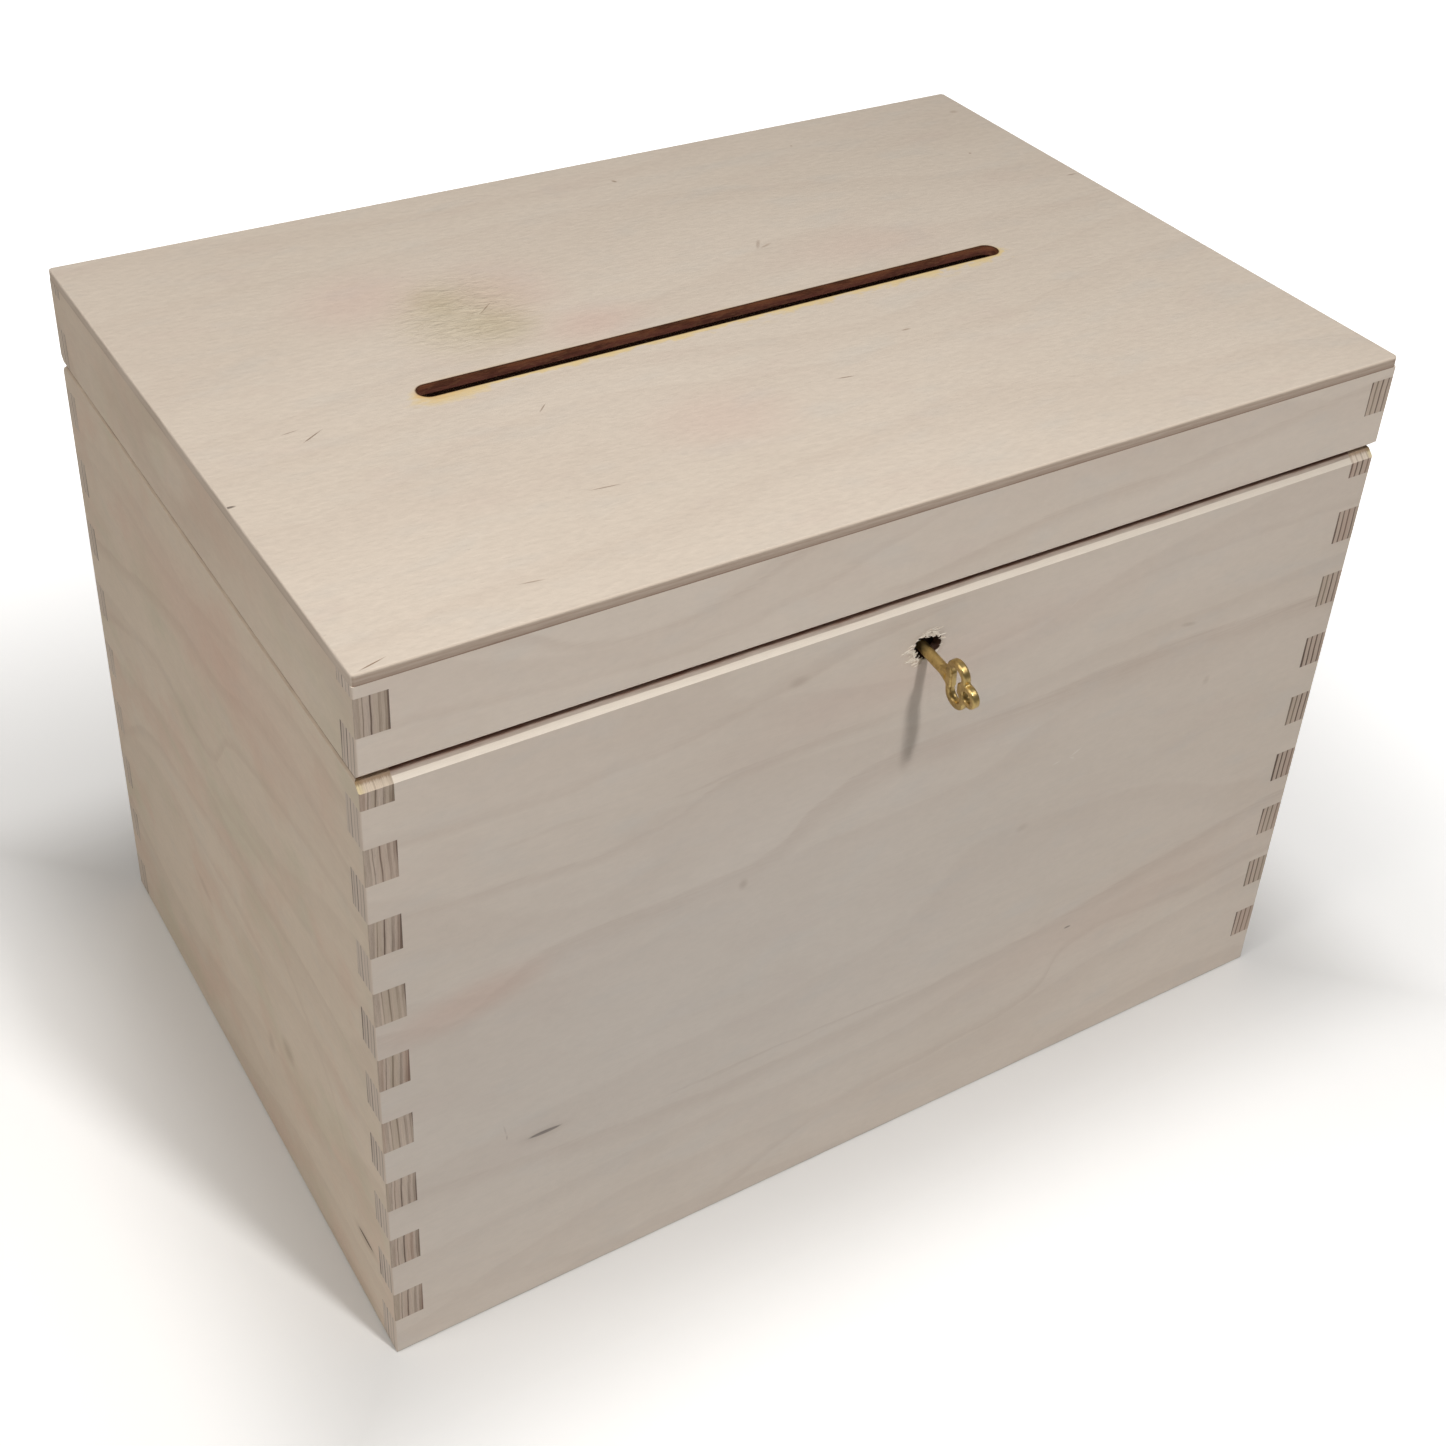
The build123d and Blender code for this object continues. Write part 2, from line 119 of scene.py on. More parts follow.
class Tree:
    def __init__(self, name):
        self.mat = bpy.data.materials.new(name)
        self.mat.use_nodes = True
        self.nt = self.mat.node_tree
        self.nt.nodes.clear()
        self.out = self.nt.nodes.new("ShaderNodeOutputMaterial")
        self.bsdf = self.nt.nodes.new("ShaderNodeBsdfPrincipled")
        self.nt.links.new(self.bsdf.outputs[0], self.out.inputs[0])
        self._tc = None

    def put(self, socket, value):
        if value is None:
            return
        if isinstance(value, V):
            self.nt.links.new(value.s, socket)
        elif isinstance(value, bpy.types.NodeSocket):
            self.nt.links.new(value, socket)
        else:
            socket.default_value = value

    def math(self, op, a, b=None, c=None):
        n = self.nt.nodes.new("ShaderNodeMath")
        n.operation = op
        self.put(n.inputs[0], a)
        self.put(n.inputs[1], b)
        self.put(n.inputs[2], c)
        return V(self, n.outputs[0])

    def mr(self, v, a, b, c, d, kind):
        n = self.nt.nodes.new("ShaderNodeMapRange")
        n.interpolation_type = kind
        self.put(n.inputs[0], v)
        for i, x in enumerate((a, b, c, d)):
            self.put(n.inputs[1 + i], x)
        return V(self, n.outputs[0])

    def coords(self):
        if self._tc is None:
            self._tc = self.nt.nodes.new("ShaderNodeTexCoord")
        return self._tc

    def point(self):
        """Rest position, in millimetres, as three scalars."""
        s = self.nt.nodes.new("ShaderNodeSeparateXYZ")
        self.put(s.inputs[0], self.coords().outputs["Object"])
        return [V(self, o) * 1000.0 for o in s.outputs]

    def normal(self):
        s = self.nt.nodes.new("ShaderNodeSeparateXYZ")
        self.put(s.inputs[0], self.coords().outputs["Normal"])
        return [V(self, o) for o in s.outputs]

    def vec(self, x, y, z):
        n = self.nt.nodes.new("ShaderNodeCombineXYZ")
        for i, v in enumerate((x, y, z)):
            self.put(n.inputs[i], v)
        return n.outputs[0]

    def noise(self, x, y, z, detail=2.0, rough=0.5, dist=0.0, lac=2.0):
        n = self.nt.nodes.new("ShaderNodeTexNoise")
        n.noise_dimensions = "3D"
        self.put(n.inputs["Vector"], self.vec(x, y, z))
        n.inputs["Scale"].default_value = 1.0
        n.inputs["Detail"].default_value = detail
        n.inputs["Roughness"].default_value = rough
        n.inputs["Lacunarity"].default_value = lac
        n.inputs["Distortion"].default_value = dist
        return V(self, n.outputs[0])

    def cells(self, x, y, z, rand=1.0, feature="F1"):
        n = self.nt.nodes.new("ShaderNodeTexVoronoi")
        n.voronoi_dimensions = "3D"
        n.feature = feature
        self.put(n.inputs["Vector"], self.vec(x, y, z))
        n.inputs["Scale"].default_value = 1.0
        n.inputs["Randomness"].default_value = rand
        return n

    def ramp(self, v, stops, kind="LINEAR"):
        n = self.nt.nodes.new("ShaderNodeValToRGB")
        cr = n.color_ramp
        cr.interpolation = kind
        while len(cr.elements) > 1:
            cr.elements.remove(cr.elements[-1])
        cr.elements[0].position = stops[0][0]
        cr.elements[0].color = self._c(stops[0][1])
        for p, c in stops[1:]:
            e = cr.elements.new(p)
            e.color = self._c(c)
        self.put(n.inputs[0], v)
        return n.outputs[0]

    def _c(self, c):
        return (c, c, c, 1.0) if isinstance(c, (int, float)) else c

    def rampv(self, v, stops, kind="LINEAR"):
        return V(self, self.ramp(v, stops, kind))

    def curve(self, v, pts):
        """A drawn line: v in 0..1 to a height in 0..1."""
        n = self.nt.nodes.new("ShaderNodeFloatCurve")
        self.put(n.inputs["Value"], v)
        m = n.mapping
        c = m.curves[0]
        pts = sorted(pts)
        while len(c.points) < len(pts):
            c.points.new(0.5, 0.5)
        for p, (x, y) in zip(c.points, pts):
            p.location = (x, y)
            p.handle_type = "AUTO"
        m.extend = "HORIZONTAL"
        m.update()
        return V(self, n.outputs[0])

    def mix(self, fac, a, b, kind="MIX"):
        n = self.nt.nodes.new("ShaderNodeMix")
        n.data_type = "RGBA"
        n.blend_type = kind
        n.clamp_factor = True
        self.put(n.inputs[0], fac)
        self.put(n.inputs[6], a)
        self.put(n.inputs[7], b)
        return n.outputs[2]

    def grey(self, v):
        n = self.nt.nodes.new("ShaderNodeCombineColor")
        for i in range(3):
            self.put(n.inputs[i], v)
        return n.outputs[0]

    def times(self, colour, v):
        return self.mix(1.0, colour, self.grey(v), "MULTIPLY")

    def bump(self, height, dist, strength=1.0, normal=None):
        n = self.nt.nodes.new("ShaderNodeBump")
        n.inputs["Strength"].default_value = strength
        n.inputs["Distance"].default_value = dist
        self.put(n.inputs["Height"], height)
        if normal is not None:
            self.put(n.inputs["Normal"], normal)
        return n.outputs[0]

    def set(self, **kw):
        for k, v in kw.items():
            self.put(self.bsdf.inputs[k.replace("_", " ")], v)


# ------------------------------------------------------------------
# plywood: five plies, sanded and left bare.  U runs along the face grain,
# V across it in the face, W down into the thickness, all in millimetres.
# ------------------------------------------------------------------
PALE = lin(226, 213, 198)
TAN = lin(215, 201, 184)
PINK = lin(222, 205, 193)
GREY = lin(217, 209, 198)
RING = lin(193, 172, 156)

# (light, dark) of the cut plies: where the face grain is cut across, where it runs
# along the cut, and the same for the thin board of lid and bottom
END_C = (lin(228, 214, 202), lin(116, 99, 90))
SIDE_END_C = (lin(226, 211, 195), lin(104, 86, 76))
RIGHT_END_C = (lin(226, 207, 190), lin(104, 85, 73))
# the rim colours: the light end is the pale chamfer; the dark end gives the darker plies and, at full strength, painted
# shade of the gap under the lid
RIM_PLY_AND_GAP_SHADE_C = (lin(254, 243, 226), lin(116, 70, 48))
TOP_END_C = (lin(222, 208, 194), lin(190, 173, 156))
TOP_RIM_C = (lin(222, 207, 190), lin(150, 126, 110))

# plies from the outer face inwards, 0 light and 1 dark
END_8 = [(0.00, 0.56), (0.06, 0.42), (0.18, 0.52), (0.20, 0.30), (0.252, 0.26), (0.266, 0.70), (0.285, 0.68),
         (0.30, 0.30), (0.46, 0.36), (0.478, 0.95), (0.505, 0.95), (0.522, 0.40), (0.60, 0.28), (0.70, 0.34),
         (0.715, 0.66), (0.79, 0.52), (0.81, 0.34), (0.87, 0.38), (0.90, 0.66), (0.955, 0.60), (0.97, 1.0), (1.00, 1.0)]
END_8R = [(0.00, 0.34), (0.17, 0.40), (0.19, 0.90), (0.235, 0.86), (0.25, 0.30), (0.43, 0.36), (0.45, 1.0),
          (0.50, 1.0), (0.52, 0.28), (0.68, 0.36), (0.70, 0.96), (0.75, 0.92), (0.77, 0.26), (0.91, 0.34),
          (0.935, 1.0), (1.00, 1.0)]
END_8B = [(0.00, 0.10), (0.15, 0.14), (0.164, 0.70), (0.184, 0.68), (0.20, 0.10), (0.37, 0.14), (0.384, 0.62),
          (0.398, 0.60), (0.412, 0.08), (0.58, 0.12), (0.595, 0.95), (0.622, 0.95), (0.640, 0.12), (0.80, 0.18),
          (0.815, 0.62), (0.835, 0.60), (0.85, 0.14), (0.95, 0.22), (0.97, 0.78), (1.00, 0.78)]
# in the two rim ramps a dark band about 1.3 to 3.5 mm deep (box and lid front and back) and 0.6 to 1.9 mm deep (sides)
# is painted shade: brown on the upper chamfer under the lid's overhang, near black on the rim top inside the gap
RIM_PLIES_GAP_SHADE = [(0.00, 0.03), (0.145, 0.00), (0.162, 0.46), (0.225, 0.56), (0.250, 0.86), (0.44, 1.0), (0.46, 0.34),
         (0.62, 0.30), (0.64, 0.58), (0.76, 0.54), (0.78, 0.26), (1.00, 0.24)]
SIDE_RIM_PLIES_GAP_SHADE = [(0.00, 0.32), (0.055, 0.34), (0.075, 0.80), (0.10, 1.0), (0.20, 1.0), (0.24, 0.42), (0.50, 0.34),
          (0.53, 0.60), (0.68, 0.56), (0.71, 0.28), (1.00, 0.24)]
EDGE_3 = [(0.00, 0.03), (0.09, 0.08), (0.24, 0.50), (0.36, 0.64), (0.52, 0.52), (0.70, 0.66), (0.88, 0.72),
          (0.93, 1.0), (1.00, 1.0)]


def figure(t, U, Vv, seed, pitch=34.0, warp=2.6):
    """Faint growth rings: a soft rise on one side and a sharp end on the other."""
    big = t.noise(U * 0.0052 + seed, Vv * 0.014 + seed * 1.7, seed * 0.37, 1.0)
    mid = t.noise(U * 0.021 + seed, Vv * 0.045, seed + 5.0, 2.0)
    f = (Vv * (1.0 / pitch) + big * warp * 1.5 + mid * 0.30 + seed * 0.13).fract()
    return f.ss(0.42, 0.94) * f.ss(0.94, 1.0, 1.0, 0.0)


def grain_line(t, U, Vv, wob, along, pts, sharp, soft, k, up=True, ends=(True, True)):
    """One drawn growth line with its own path; pts are (U, V) in millimetres."""
    sharp, soft, k = sharp * 2.2 + 0.3, soft * 1.5, k * 0.85
    L = t.curve(U * (1 / 300.0), [(a / 300.0, b / 230.0) for a, b in pts]) * 230.0
    d = Vv - L - wob
    if up:
        m = d.ss(-sharp, 0.0) * d.ss(0.0, soft, 1.0, 0.0)
    else:
        m = d.ss(0.0, sharp, 1.0, 0.0) * d.ss(-soft, 0.0)
    if ends[0]:
        m = m * U.ss(pts[0][0] - 14, pts[0][0] + 4)
    if ends[1]:
        m = m * U.ss(pts[-1][0] - 4, pts[-1][0] + 14, 1.0, 0.0)
    return m * along * k


def oval(t, U, Vv, cu, cv, ru, rv, turn=0.0, edge=0.5, rag=0.0, n=None):
    """1 inside a turned ellipse, 0 outside; edge is the soft part of the radius."""
    a = math.radians(turn)
    du, dv = U - cu, Vv - cv
    p = (du * math.cos(a) + dv * math.sin(a)) * (1.0 / ru)
    q = (dv * math.cos(a) - du * math.sin(a)) * (1.0 / rv)
    r = t.math("SQRT", p * p + q * q)
    if n is not None and rag:
        r = r + (n - 0.5) * rag
    return r.ss(1.0 - edge, 1.0 + edge, 1.0, 0.0)


AX = {
    # node family: U, V, W as (axis, offset, sign), mm
    "front": (("x", 150.0, 1), ("z", 0.0, 1), ("y", 102.5, 1)),
    "back": (("x", 150.0, 1), ("z", 0.0, 1), ("y", 102.5, -1)),
    "left": (("y", 102.5, 1), ("z", 0.0, 1), ("x", 150.0, 1)),
    "right": (("y", 102.5, 1), ("z", 0.0, 1), ("x", 150.0, -1)),
    "top": (("x", 150.0, 1), ("y", 102.5, 1), ("z", 223.4, -1)),
    "bottom": (("x", 150.0, 1), ("y", 102.5, 1), ("z", 0.0, 1)),
}


def plywood(name, family, T, seed, end, rim, lines=(), marks=None, extra=None,
            tint=(255, 255, 255), rings=0.3, edge_gain=1.0, tan=0.35, pink=0.3, draw=0.7,
            ec=END_C, rc=RIM_PLY_AND_GAP_SHADE_C, jogs=0.5, blotch=0.0, floor_contact_shade=False, hues=0.0, ease=True, streak=0.8,
            grit=0.08, nicks=0.5):
    t = Tree(name)
    P = dict(zip("xyz", t.point()))
    N = dict(zip("xyz", t.normal()))
    (ua, uo, us), (va, vo, vs), (wa, wo, ws) = AX[family]
    U = P[ua] + uo
    Vv = P[va] + vo
    if ws > 0:
        W = P[wa] + wo if wo else P[wa] + 0.0
    else:
        W = wo - P[wa]
    nu, nv, nw = N[ua].abs(), N[va].abs(), N[wa].abs()
    face = nw.ss(0.80, 0.95)
    outer = W.ss(0.15, 0.5, 1.0, 0.0) * face

    # -- broad colour of the veneer
    inner_shift = W * 3.7  # the two faces of a sheet are cut from different veneer
    m1 = t.noise(U * 0.011 + seed, Vv * 0.022 + seed, inner_shift + seed, 3.0, 0.55)
    m2 = t.noise(U * 0.030 - seed, Vv * 0.075, inner_shift + 3.1 + seed, 3.0, 0.6)
    m3 = t.noise(U * 0.05 + 4.0 * seed, Vv * 0.11 + 9.0, seed + 21.0, 2.0, 0.5)
    fine = t.noise(U * 0.055, Vv * 2.1, seed + 40.0, 3.0, 0.62)
    hair = t.noise(U * 0.30, Vv * 9.5, seed + 60.0, 2.0, 0.55)
    fleck = t.noise(U * 0.42 + 7.0, Vv * 3.6, seed + 80.0, 1.0, 0.5)

    base = t.mix(m1.ss(0.34, 0.72) * tan + m2.ss(0.4, 0.8) * 0.20, PALE, TAN)
    base = t.mix(m2.ss(0.52, 0.78) * pink, base, PINK)
    base = t.mix(m3.ss(0.50, 0.80) * 0.45, base, GREY)
    if blotch:
        b1 = t.noise(U * 0.026 + 2.0 * seed, Vv * 0.034, seed + 51.0, 3.0, 0.62)
        b2 = t.noise(U * 0.020 - seed, Vv * 0.030 + 4.0, seed + 57.0, 3.0, 0.62)
        base = t.mix(b1.ss(0.47, 0.66) * blotch, base, lin(222, 198, 182))
        base = t.mix(b2.ss(0.50, 0.70) * blotch * 0.9, base, lin(208, 203, 182))

    wob = (m3 - 0.5) * 3.0 + (fine - 0.5) * 1.6
    along = (m1.ss(0.25, 0.60) * 0.45 + 0.55) * (fine.ss(0.25, 0.75) * 0.35 + 0.75)
    ring = figure(t, U, Vv, seed) * rings
    inner_ring = figure(t, U, Vv, seed + 11.3, 27.0, 3.1) * 0.30
    drawn = None
    for ln in lines:
        g = grain_line(t, U, Vv, wob, along, **ln)
        drawn = g if drawn is None else drawn.max(g)
    if drawn is not None:
        drawn = drawn * draw
        outside = (ring * 0.5).max(drawn)
    else:
        outside = ring
    ring_all = outside * outer + inner_ring * outer.inv() * face
    ring_all = ring_all * (fine.ss(0.2, 0.8) * 0.5 + 0.62)
    col = t.mix(ring_all.min(1.0), base, RING)

    # -- pores and fibre
    pores = fleck.ss(0.70, 0.84) * hair.ss(0.46, 0.62) * m2.ss(0.35, 0.65)
    sand = t.noise(U * 0.34 + 11.0, Vv * 0.75, seed + 90.0, 3.0, 0.62)
    tick = t.noise(U * 0.55, Vv * 2.6 + U * 0.30, seed + 95.0, 1.0, 0.5).ss(0.74, 0.82) * sand.ss(0.5, 0.6)
    mottle = t.noise(U * 0.12 + 3.0, Vv * 0.30, seed + 70.0, 3.0, 0.6)
    tone = (fine - 0.5) * 0.045 + (hair - 0.5) * 0.030 + (mottle - 0.5) * 0.05 + (sand - 0.5) * grit - pores * 0.03 - tick * 0.10 * nicks + 1.0
    height = (fine - 0.5) * 0.022 + (hair - 0.5) * 0.014 + (mottle - 0.5) * 0.03 + (sand - 0.5) * grit * 0.9 - pores * 0.02 - tick * 0.05 * nicks - ring_all * 0.006

    # -- cut edges
    jog = t.noise(U * 0.046, Vv * 0.046, seed + 31.0, 0.0)
    jog2 = t.noise(U * 0.17, Vv * 0.17, seed + 33.0, 1.0)
    across = (nu - nv).ss(-0.05, 0.05)
    eased = nu.min(nv).ss(0.35, 0.55)  # a chamfer that cuts the end grain at 45 degrees
    Wn = (W + ((jog - 0.5) * 1.5 + (jog2 - 0.5) * 0.30) * (across * 0.8 + 0.2) * (jogs * 2.0)) * (1.0 / T)
    strand = t.noise(W * 4.6, U * 0.10 + seed, Vv * 0.10, 3.0, 0.65)
    strand2 = t.noise(W * 11.0, U * 0.16, Vv * 0.16 + seed, 2.0, 0.6)
    along_e = t.noise(U * 0.16, Vv * 0.16 + seed, W * 2.6 + 17.0, 3.0, 0.6)
    dots = t.noise(W * 7.0, U * 5.5, Vv * 5.5, 1.0, 0.5)
    e_end = t.rampv(Wn, end)
    # for the box and lid panels the rim ramp holds painted shade of the gap between lid and base, as well as the ply
    # stripes
    e_rim_and_gap_shade = t.rampv(Wn, rim)
    lines_e = (strand - 0.5).abs().ss(0.0, 0.035, 1.0, 0.0) * 0.22 + (strand2 - 0.5) * 0.60
    e1 = (e_end * (jog.lr(0.3, 0.7, 0.80, 1.12)) + lines_e * streak + (strand - 0.5) * 0.45 * streak).max(0.0).min(1.0)
    e2 = (e_rim_and_gap_shade + (along_e - 0.5) * 0.40 * e_rim_and_gap_shade.ss(0.0, 0.4, 0.35, 1.0)).max(0.0).min(1.0)
    ecol = t.mix(across, t.mix(e2, *rc), t.mix(e1, *ec))
    finger = (Vv * (1.0 / 21.75) - 0.11).floor()
    hue = t.noise(finger * 3.7 + seed, seed * 2.0, W * 0.30 + finger * 5.1, 0.0)
    if hues:
        ecol = t.mix(hue.ss(0.54, 0.70) * hues * across, ecol, lin(186, 156, 140))
        ecol = t.mix(hue.ss(0.32, 0.46, 1.0, 0.0) * hues * across, ecol, lin(184, 170, 150))
    # eased chamfer on the finger ends: pale at the front edge, turning brown from about 1.1 to 1.7 mm deep, which is
    # painted shade under the lid's overhang; yellower near the outer face
    if ease:
        under_lid_shade = (U + (strand2 - 0.5) * 1.2).ss(1.1, 1.7)
        cham = t.mix(under_lid_shade, lin(232, 219, 203), lin(172, 147, 122))
        cham = t.mix(W.ss(0.2, 2.2, 1.0, 0.0) * 0.8, cham, t.mix(under_lid_shade, lin(238, 224, 176), lin(156, 130, 84)))
        cham = t.mix((strand2.ss(0.46, 0.60) * 0.5 + e_end.ss(0.45, 0.8) * 0.6) * under_lid_shade.lr(0.0, 1.0, 0.55, 0.8), cham, lin(164, 142, 120))
        ecol = t.mix(eased * 0.9, ecol, cham)
    etone = (strand2 - 0.5) * 0.12 + (dots - 0.5) * 0.10 + edge_gain
    eheight = (strand - 0.5) * 0.05 + (strand2 - 0.5) * 0.05 + (dots - 0.5) * 0.04 - e1 * 0.03 * across

    tone = tone * face + etone * face.inv()
    height = height * face + eheight * face.inv()
    col = t.mix(face, ecol, col)
    rough = (hair - 0.5) * 0.12 + (m2 - 0.5) * 0.10 + face.inv() * 0.12 + 0.60
    ctx = dict(t=t, U=U, V=Vv, W=W, face=face, outer=outer, fine=fine, hair=hair, m1=m1, m2=m2,
               m3=m3, dots=dots, strand=strand, strand2=strand2, P=P, N=N, nu=nu, nv=nv, nw=nw)
    # -- knots, nicks and dents on the outer face
    if marks:
        for mk in marks:
            k = oval(t, U, Vv, *mk["at"], *mk["r"], mk.get("turn", 0.0), mk.get("edge", 0.4),
                     mk.get("rag", 0.5), fine) * outer
            col = t.mix(k * mk["k"], col, mk["c"])
            if mk.get("h"):
                height = height + k * mk["h"]
    if floor_contact_shade:  # painted contact shadow: the lowest 0.75 mm is darkened where the box meets the floor
        tone = tone * (P["z"] + (fine - 0.5) * 0.5).ss(0.15, 0.75, 0.62, 1.0)
    if extra:
        col, tone, height, rough = extra(ctx, col, tone, height, rough)
    if tint != (255, 255, 255):
        col = t.mix(1.0, col, lin(*tint), "MULTIPLY")
    col = t.times(col, tone)
    t.set(Base_Color=col, Roughness=rough, Normal=t.bump(height, 0.001, 1.0))
    t.bsdf.inputs["Specular IOR Level"].default_value = 0.32
    return t.mat


def line(pts, k=0.5, sharp=0.5, soft=3.0, up=True, ends=(True, True)):
    return dict(pts=pts, k=k, sharp=sharp, soft=soft, up=up, ends=ends)


DARK = lin(58, 36, 26)
BROWN = lin(126, 92, 68)
UMBER = lin(150, 122, 98)

FRONT_LINES = [
    line([(0, 174.6), (36, 173.0), (76, 175.0), (100, 179.4), (114, 182.4), (136, 187.4), (158, 189.6)], 0.50, 0.6, 3.5, True, (False, True)),
    line([(0, 153.8), (30, 151.6), (66, 150.4), (80, 153.0), (92, 158.4), (108, 160.4), (136, 161.2)], 0.55, 0.5, 2.6, False, (False, True)),
    line([(0, 118.5), (10, 116.2), (20, 113.4), (32, 119.4), (42, 124.4), (86, 126.4), (108, 129.4), (120, 139.0), (136, 145.0), (186, 147.4), (216, 149.0), (300, 147.0)], 0.72, 0.8, 7.5, False, (False, False)),
    line([(164, 171.4), (170, 172.4), (196, 175.0), (216, 177.0), (300, 178.4)], 0.40, 0.5, 3.0, True, (True, False)),
    line([(0, 59.4), (20, 57.6), (56, 52.4), (100, 49.4), (140, 51.0), (176, 53.8), (216, 57.4), (236, 62.4), (268, 67.8), (300, 72.4)], 0.62, 0.7, 5.0, False, (False, False)),
    line([(84, 55.0), (118, 55.6), (154, 54.8)], 0.75, 0.35, 0.5, True),
    line([(96, 4.0), (116, 12.4), (136, 19.4), (176, 24.4), (202, 28.0), (211, 33.4), (215, 42.0), (224, 46.4), (266, 45.4), (286, 47.8), (300, 48.4)], 0.48, 0.6, 3.0, True, (True, False)),
    line([(36, 162.6), (46, 163.2), (54, 162.8)], 0.35, 0.3, 0.5, True),
    line([(86, 159.6), (98, 160.6), (112, 160.2)], 0.60, 0.35, 0.6, True),
    line([(0, 18.0), (40, 10.0), (70, 4.0), (96, 2.0)], 0.30, 0.8, 4.0, False, (False, True)),
]
FRAIL_LINES = [
    line([(26, 222.0), (38, 219.4), (54, 213.0), (72, 210.4), (92, 213.0), (108, 219.0), (116, 222.0)], 0.55, 0.6, 2.4, False),
    line([(0, 206.9), (16, 206.4), (56, 203.0), (76, 201.8), (96, 204.2), (116, 208.4), (136, 214.0), (152, 218.8)], 0.42, 0.5, 2.8, True, (False, True)),
    line([(140, 200.4), (148, 201.4), (176, 206.4), (200, 208.2), (226, 209.6), (256, 213.0), (300, 217.6)], 0.48, 0.5, 3.2, False, (True, False)),
]
LEFT_LINES = [
    line([(0, 162.6), (9, 163.4), (30, 166.8), (49, 168.4), (69, 166.4), (89, 159.9), (123, 158.4), (150, 153.0), (169, 147.4), (199, 139.4), (205, 137.0)], 0.60, 0.6, 4.0, False, (False, False)),
    line([(0, 182.0), (40, 186.0), (90, 178.0), (130, 172.0), (170, 174.0), (205, 166.0)], 0.40, 0.6, 4.5, False, (False, False)),
    line([(0, 150.6), (39, 149.4), (70, 146.0), (89, 141.4), (97, 133.0), (105, 125.4), (130, 126.4), (149, 128.4), (175, 121.0), (197, 113.4), (205, 110.0)], 0.52, 0.6, 3.2, True, (False, False)),
    line([(0, 98.0), (9, 98.4), (50, 101.0), (79, 99.4), (110, 96.6), (139, 94.4), (165, 90.0), (186, 78.0), (205, 60.0)], 0.50, 0.6, 3.6, False, (False, False)),
    line([(20, 29.4), (26, 52.0), (36, 70.0), (50, 82.0), (62, 89.4)], 0.36, 0.5, 3.0, True),
    line([(0, 122.0), (30, 118.0), (70, 116.0), (100, 112.0)], 0.34, 0.5, 3.2, True, (False, True)),
    line([(90, 24.0), (118, 30.0), (150, 29.0), (186, 34.0), (205, 40.0)], 0.42, 0.7, 5.0, False, (True, False)),
    line([(80, 76.0), (110, 78.0), (150, 74.0)], 0.36, 0.6, 3.0, True),
]
FRONT_MARKS = [
    dict(at=(43.6, 61.7), r=(4.2, 0.55), c=DARK, k=0.95, edge=0.25, rag=0.3, h=-0.2),
    dict(at=(43.6, 61.6), r=(6.0, 1.6), c=UMBER, k=0.26, edge=0.7),
    dict(at=(32.4, 68.6), r=(0.22, 1.6), c=UMBER, k=0.22, turn=12, edge=0.5, h=-0.05),
    dict(at=(32.9, 65.6), r=(0.2, 0.8), c=BROWN, k=0.45, edge=0.5),
    dict(at=(111.6, 181.8), r=(2.4, 1.2), c=BROWN, k=0.18, edge=0.8),
    dict(at=(99.6, 122.2), r=(1.1, 1.3), c=UMBER, k=0.36, edge=0.8),
    dict(at=(191.8, 102.0), r=(1.6, 1.0), c=UMBER, k=0.18, edge=0.8),
    dict(at=(207.3, 123.2), r=(1.5, 0.22), c=lin(240, 232, 220), k=0.62, turn=24, edge=0.6, rag=0.8, h=0.05),
    dict(at=(206.0, 121.6), r=(0.9, 0.20), c=lin(240, 232, 220), k=0.50, turn=-30, edge=0.6, rag=0.8, h=0.05),
    dict(at=(200.6, 121.9), r=(1.1, 0.20), c=lin(240, 232, 220), k=0.50, turn=12, edge=0.6, rag=0.8, h=0.05),
    dict(at=(197.2, 176.8), r=(1.7, 0.20), c=lin(232, 222, 208), k=0.45, turn=38, edge=0.6, rag=0.8, h=0.05),
    dict(at=(217.0, 52.6), r=(1.1, 0.35), c=DARK, k=0.7, edge=0.4, h=-0.1),
    dict(at=(253.0, 131.6), r=(1.0, 1.3), c=UMBER, k=0.16, turn=-20, edge=0.7),
    dict(at=(241.0, 155.0), r=(2.4, 0.6), c=UMBER, k=0.22, turn=-12, edge=0.7),
    dict(at=(85.0, 82.0), r=(120.0, 66.0), c=lin(205, 202, 197), k=0.36, edge=0.9, rag=0.4),
    dict(at=(24.0, 118.5), r=(17.0, 5.0), c=lin(214, 184, 168), k=0.42, turn=8, edge=0.8, rag=0.5),
    dict(at=(150.0, 172.0), r=(46.0, 7.0), c=lin(218, 196, 182), k=0.30, turn=6, edge=0.9, rag=0.5),
    dict(at=(238.0, 52.0), r=(52.0, 9.0), c=lin(218, 194, 178), k=0.26, turn=7, edge=0.9, rag=0.5),
]
LEFT_MARKS = [
    dict(at=(16.9, 27.6), r=(4.4, 0.55), c=DARK, k=0.9, edge=0.25, rag=0.3, h=-0.15),
    dict(at=(16.9, 27.2), r=(6.0, 2.0), c=UMBER, k=0.28, edge=0.7),
    dict(at=(100.0, 168.0), r=(58.0, 13.0), c=lin(224, 190, 176), k=0.36, turn=-4, edge=0.9, rag=0.5),
    dict(at=(66.0, 51.4), r=(3.4, 3.0), c=UMBER, k=0.30, edge=0.8),
    dict(at=(80.0, 42.0), r=(2.0, 3.4), c=UMBER, k=0.18, edge=0.8),
    dict(at=(128.0, 60.0), r=(5.0, 1.6), c=UMBER, k=0.18, turn=20, edge=0.8),
]
KNOT = lin(196, 182, 138)
FLUSH = lin(222, 190, 178)
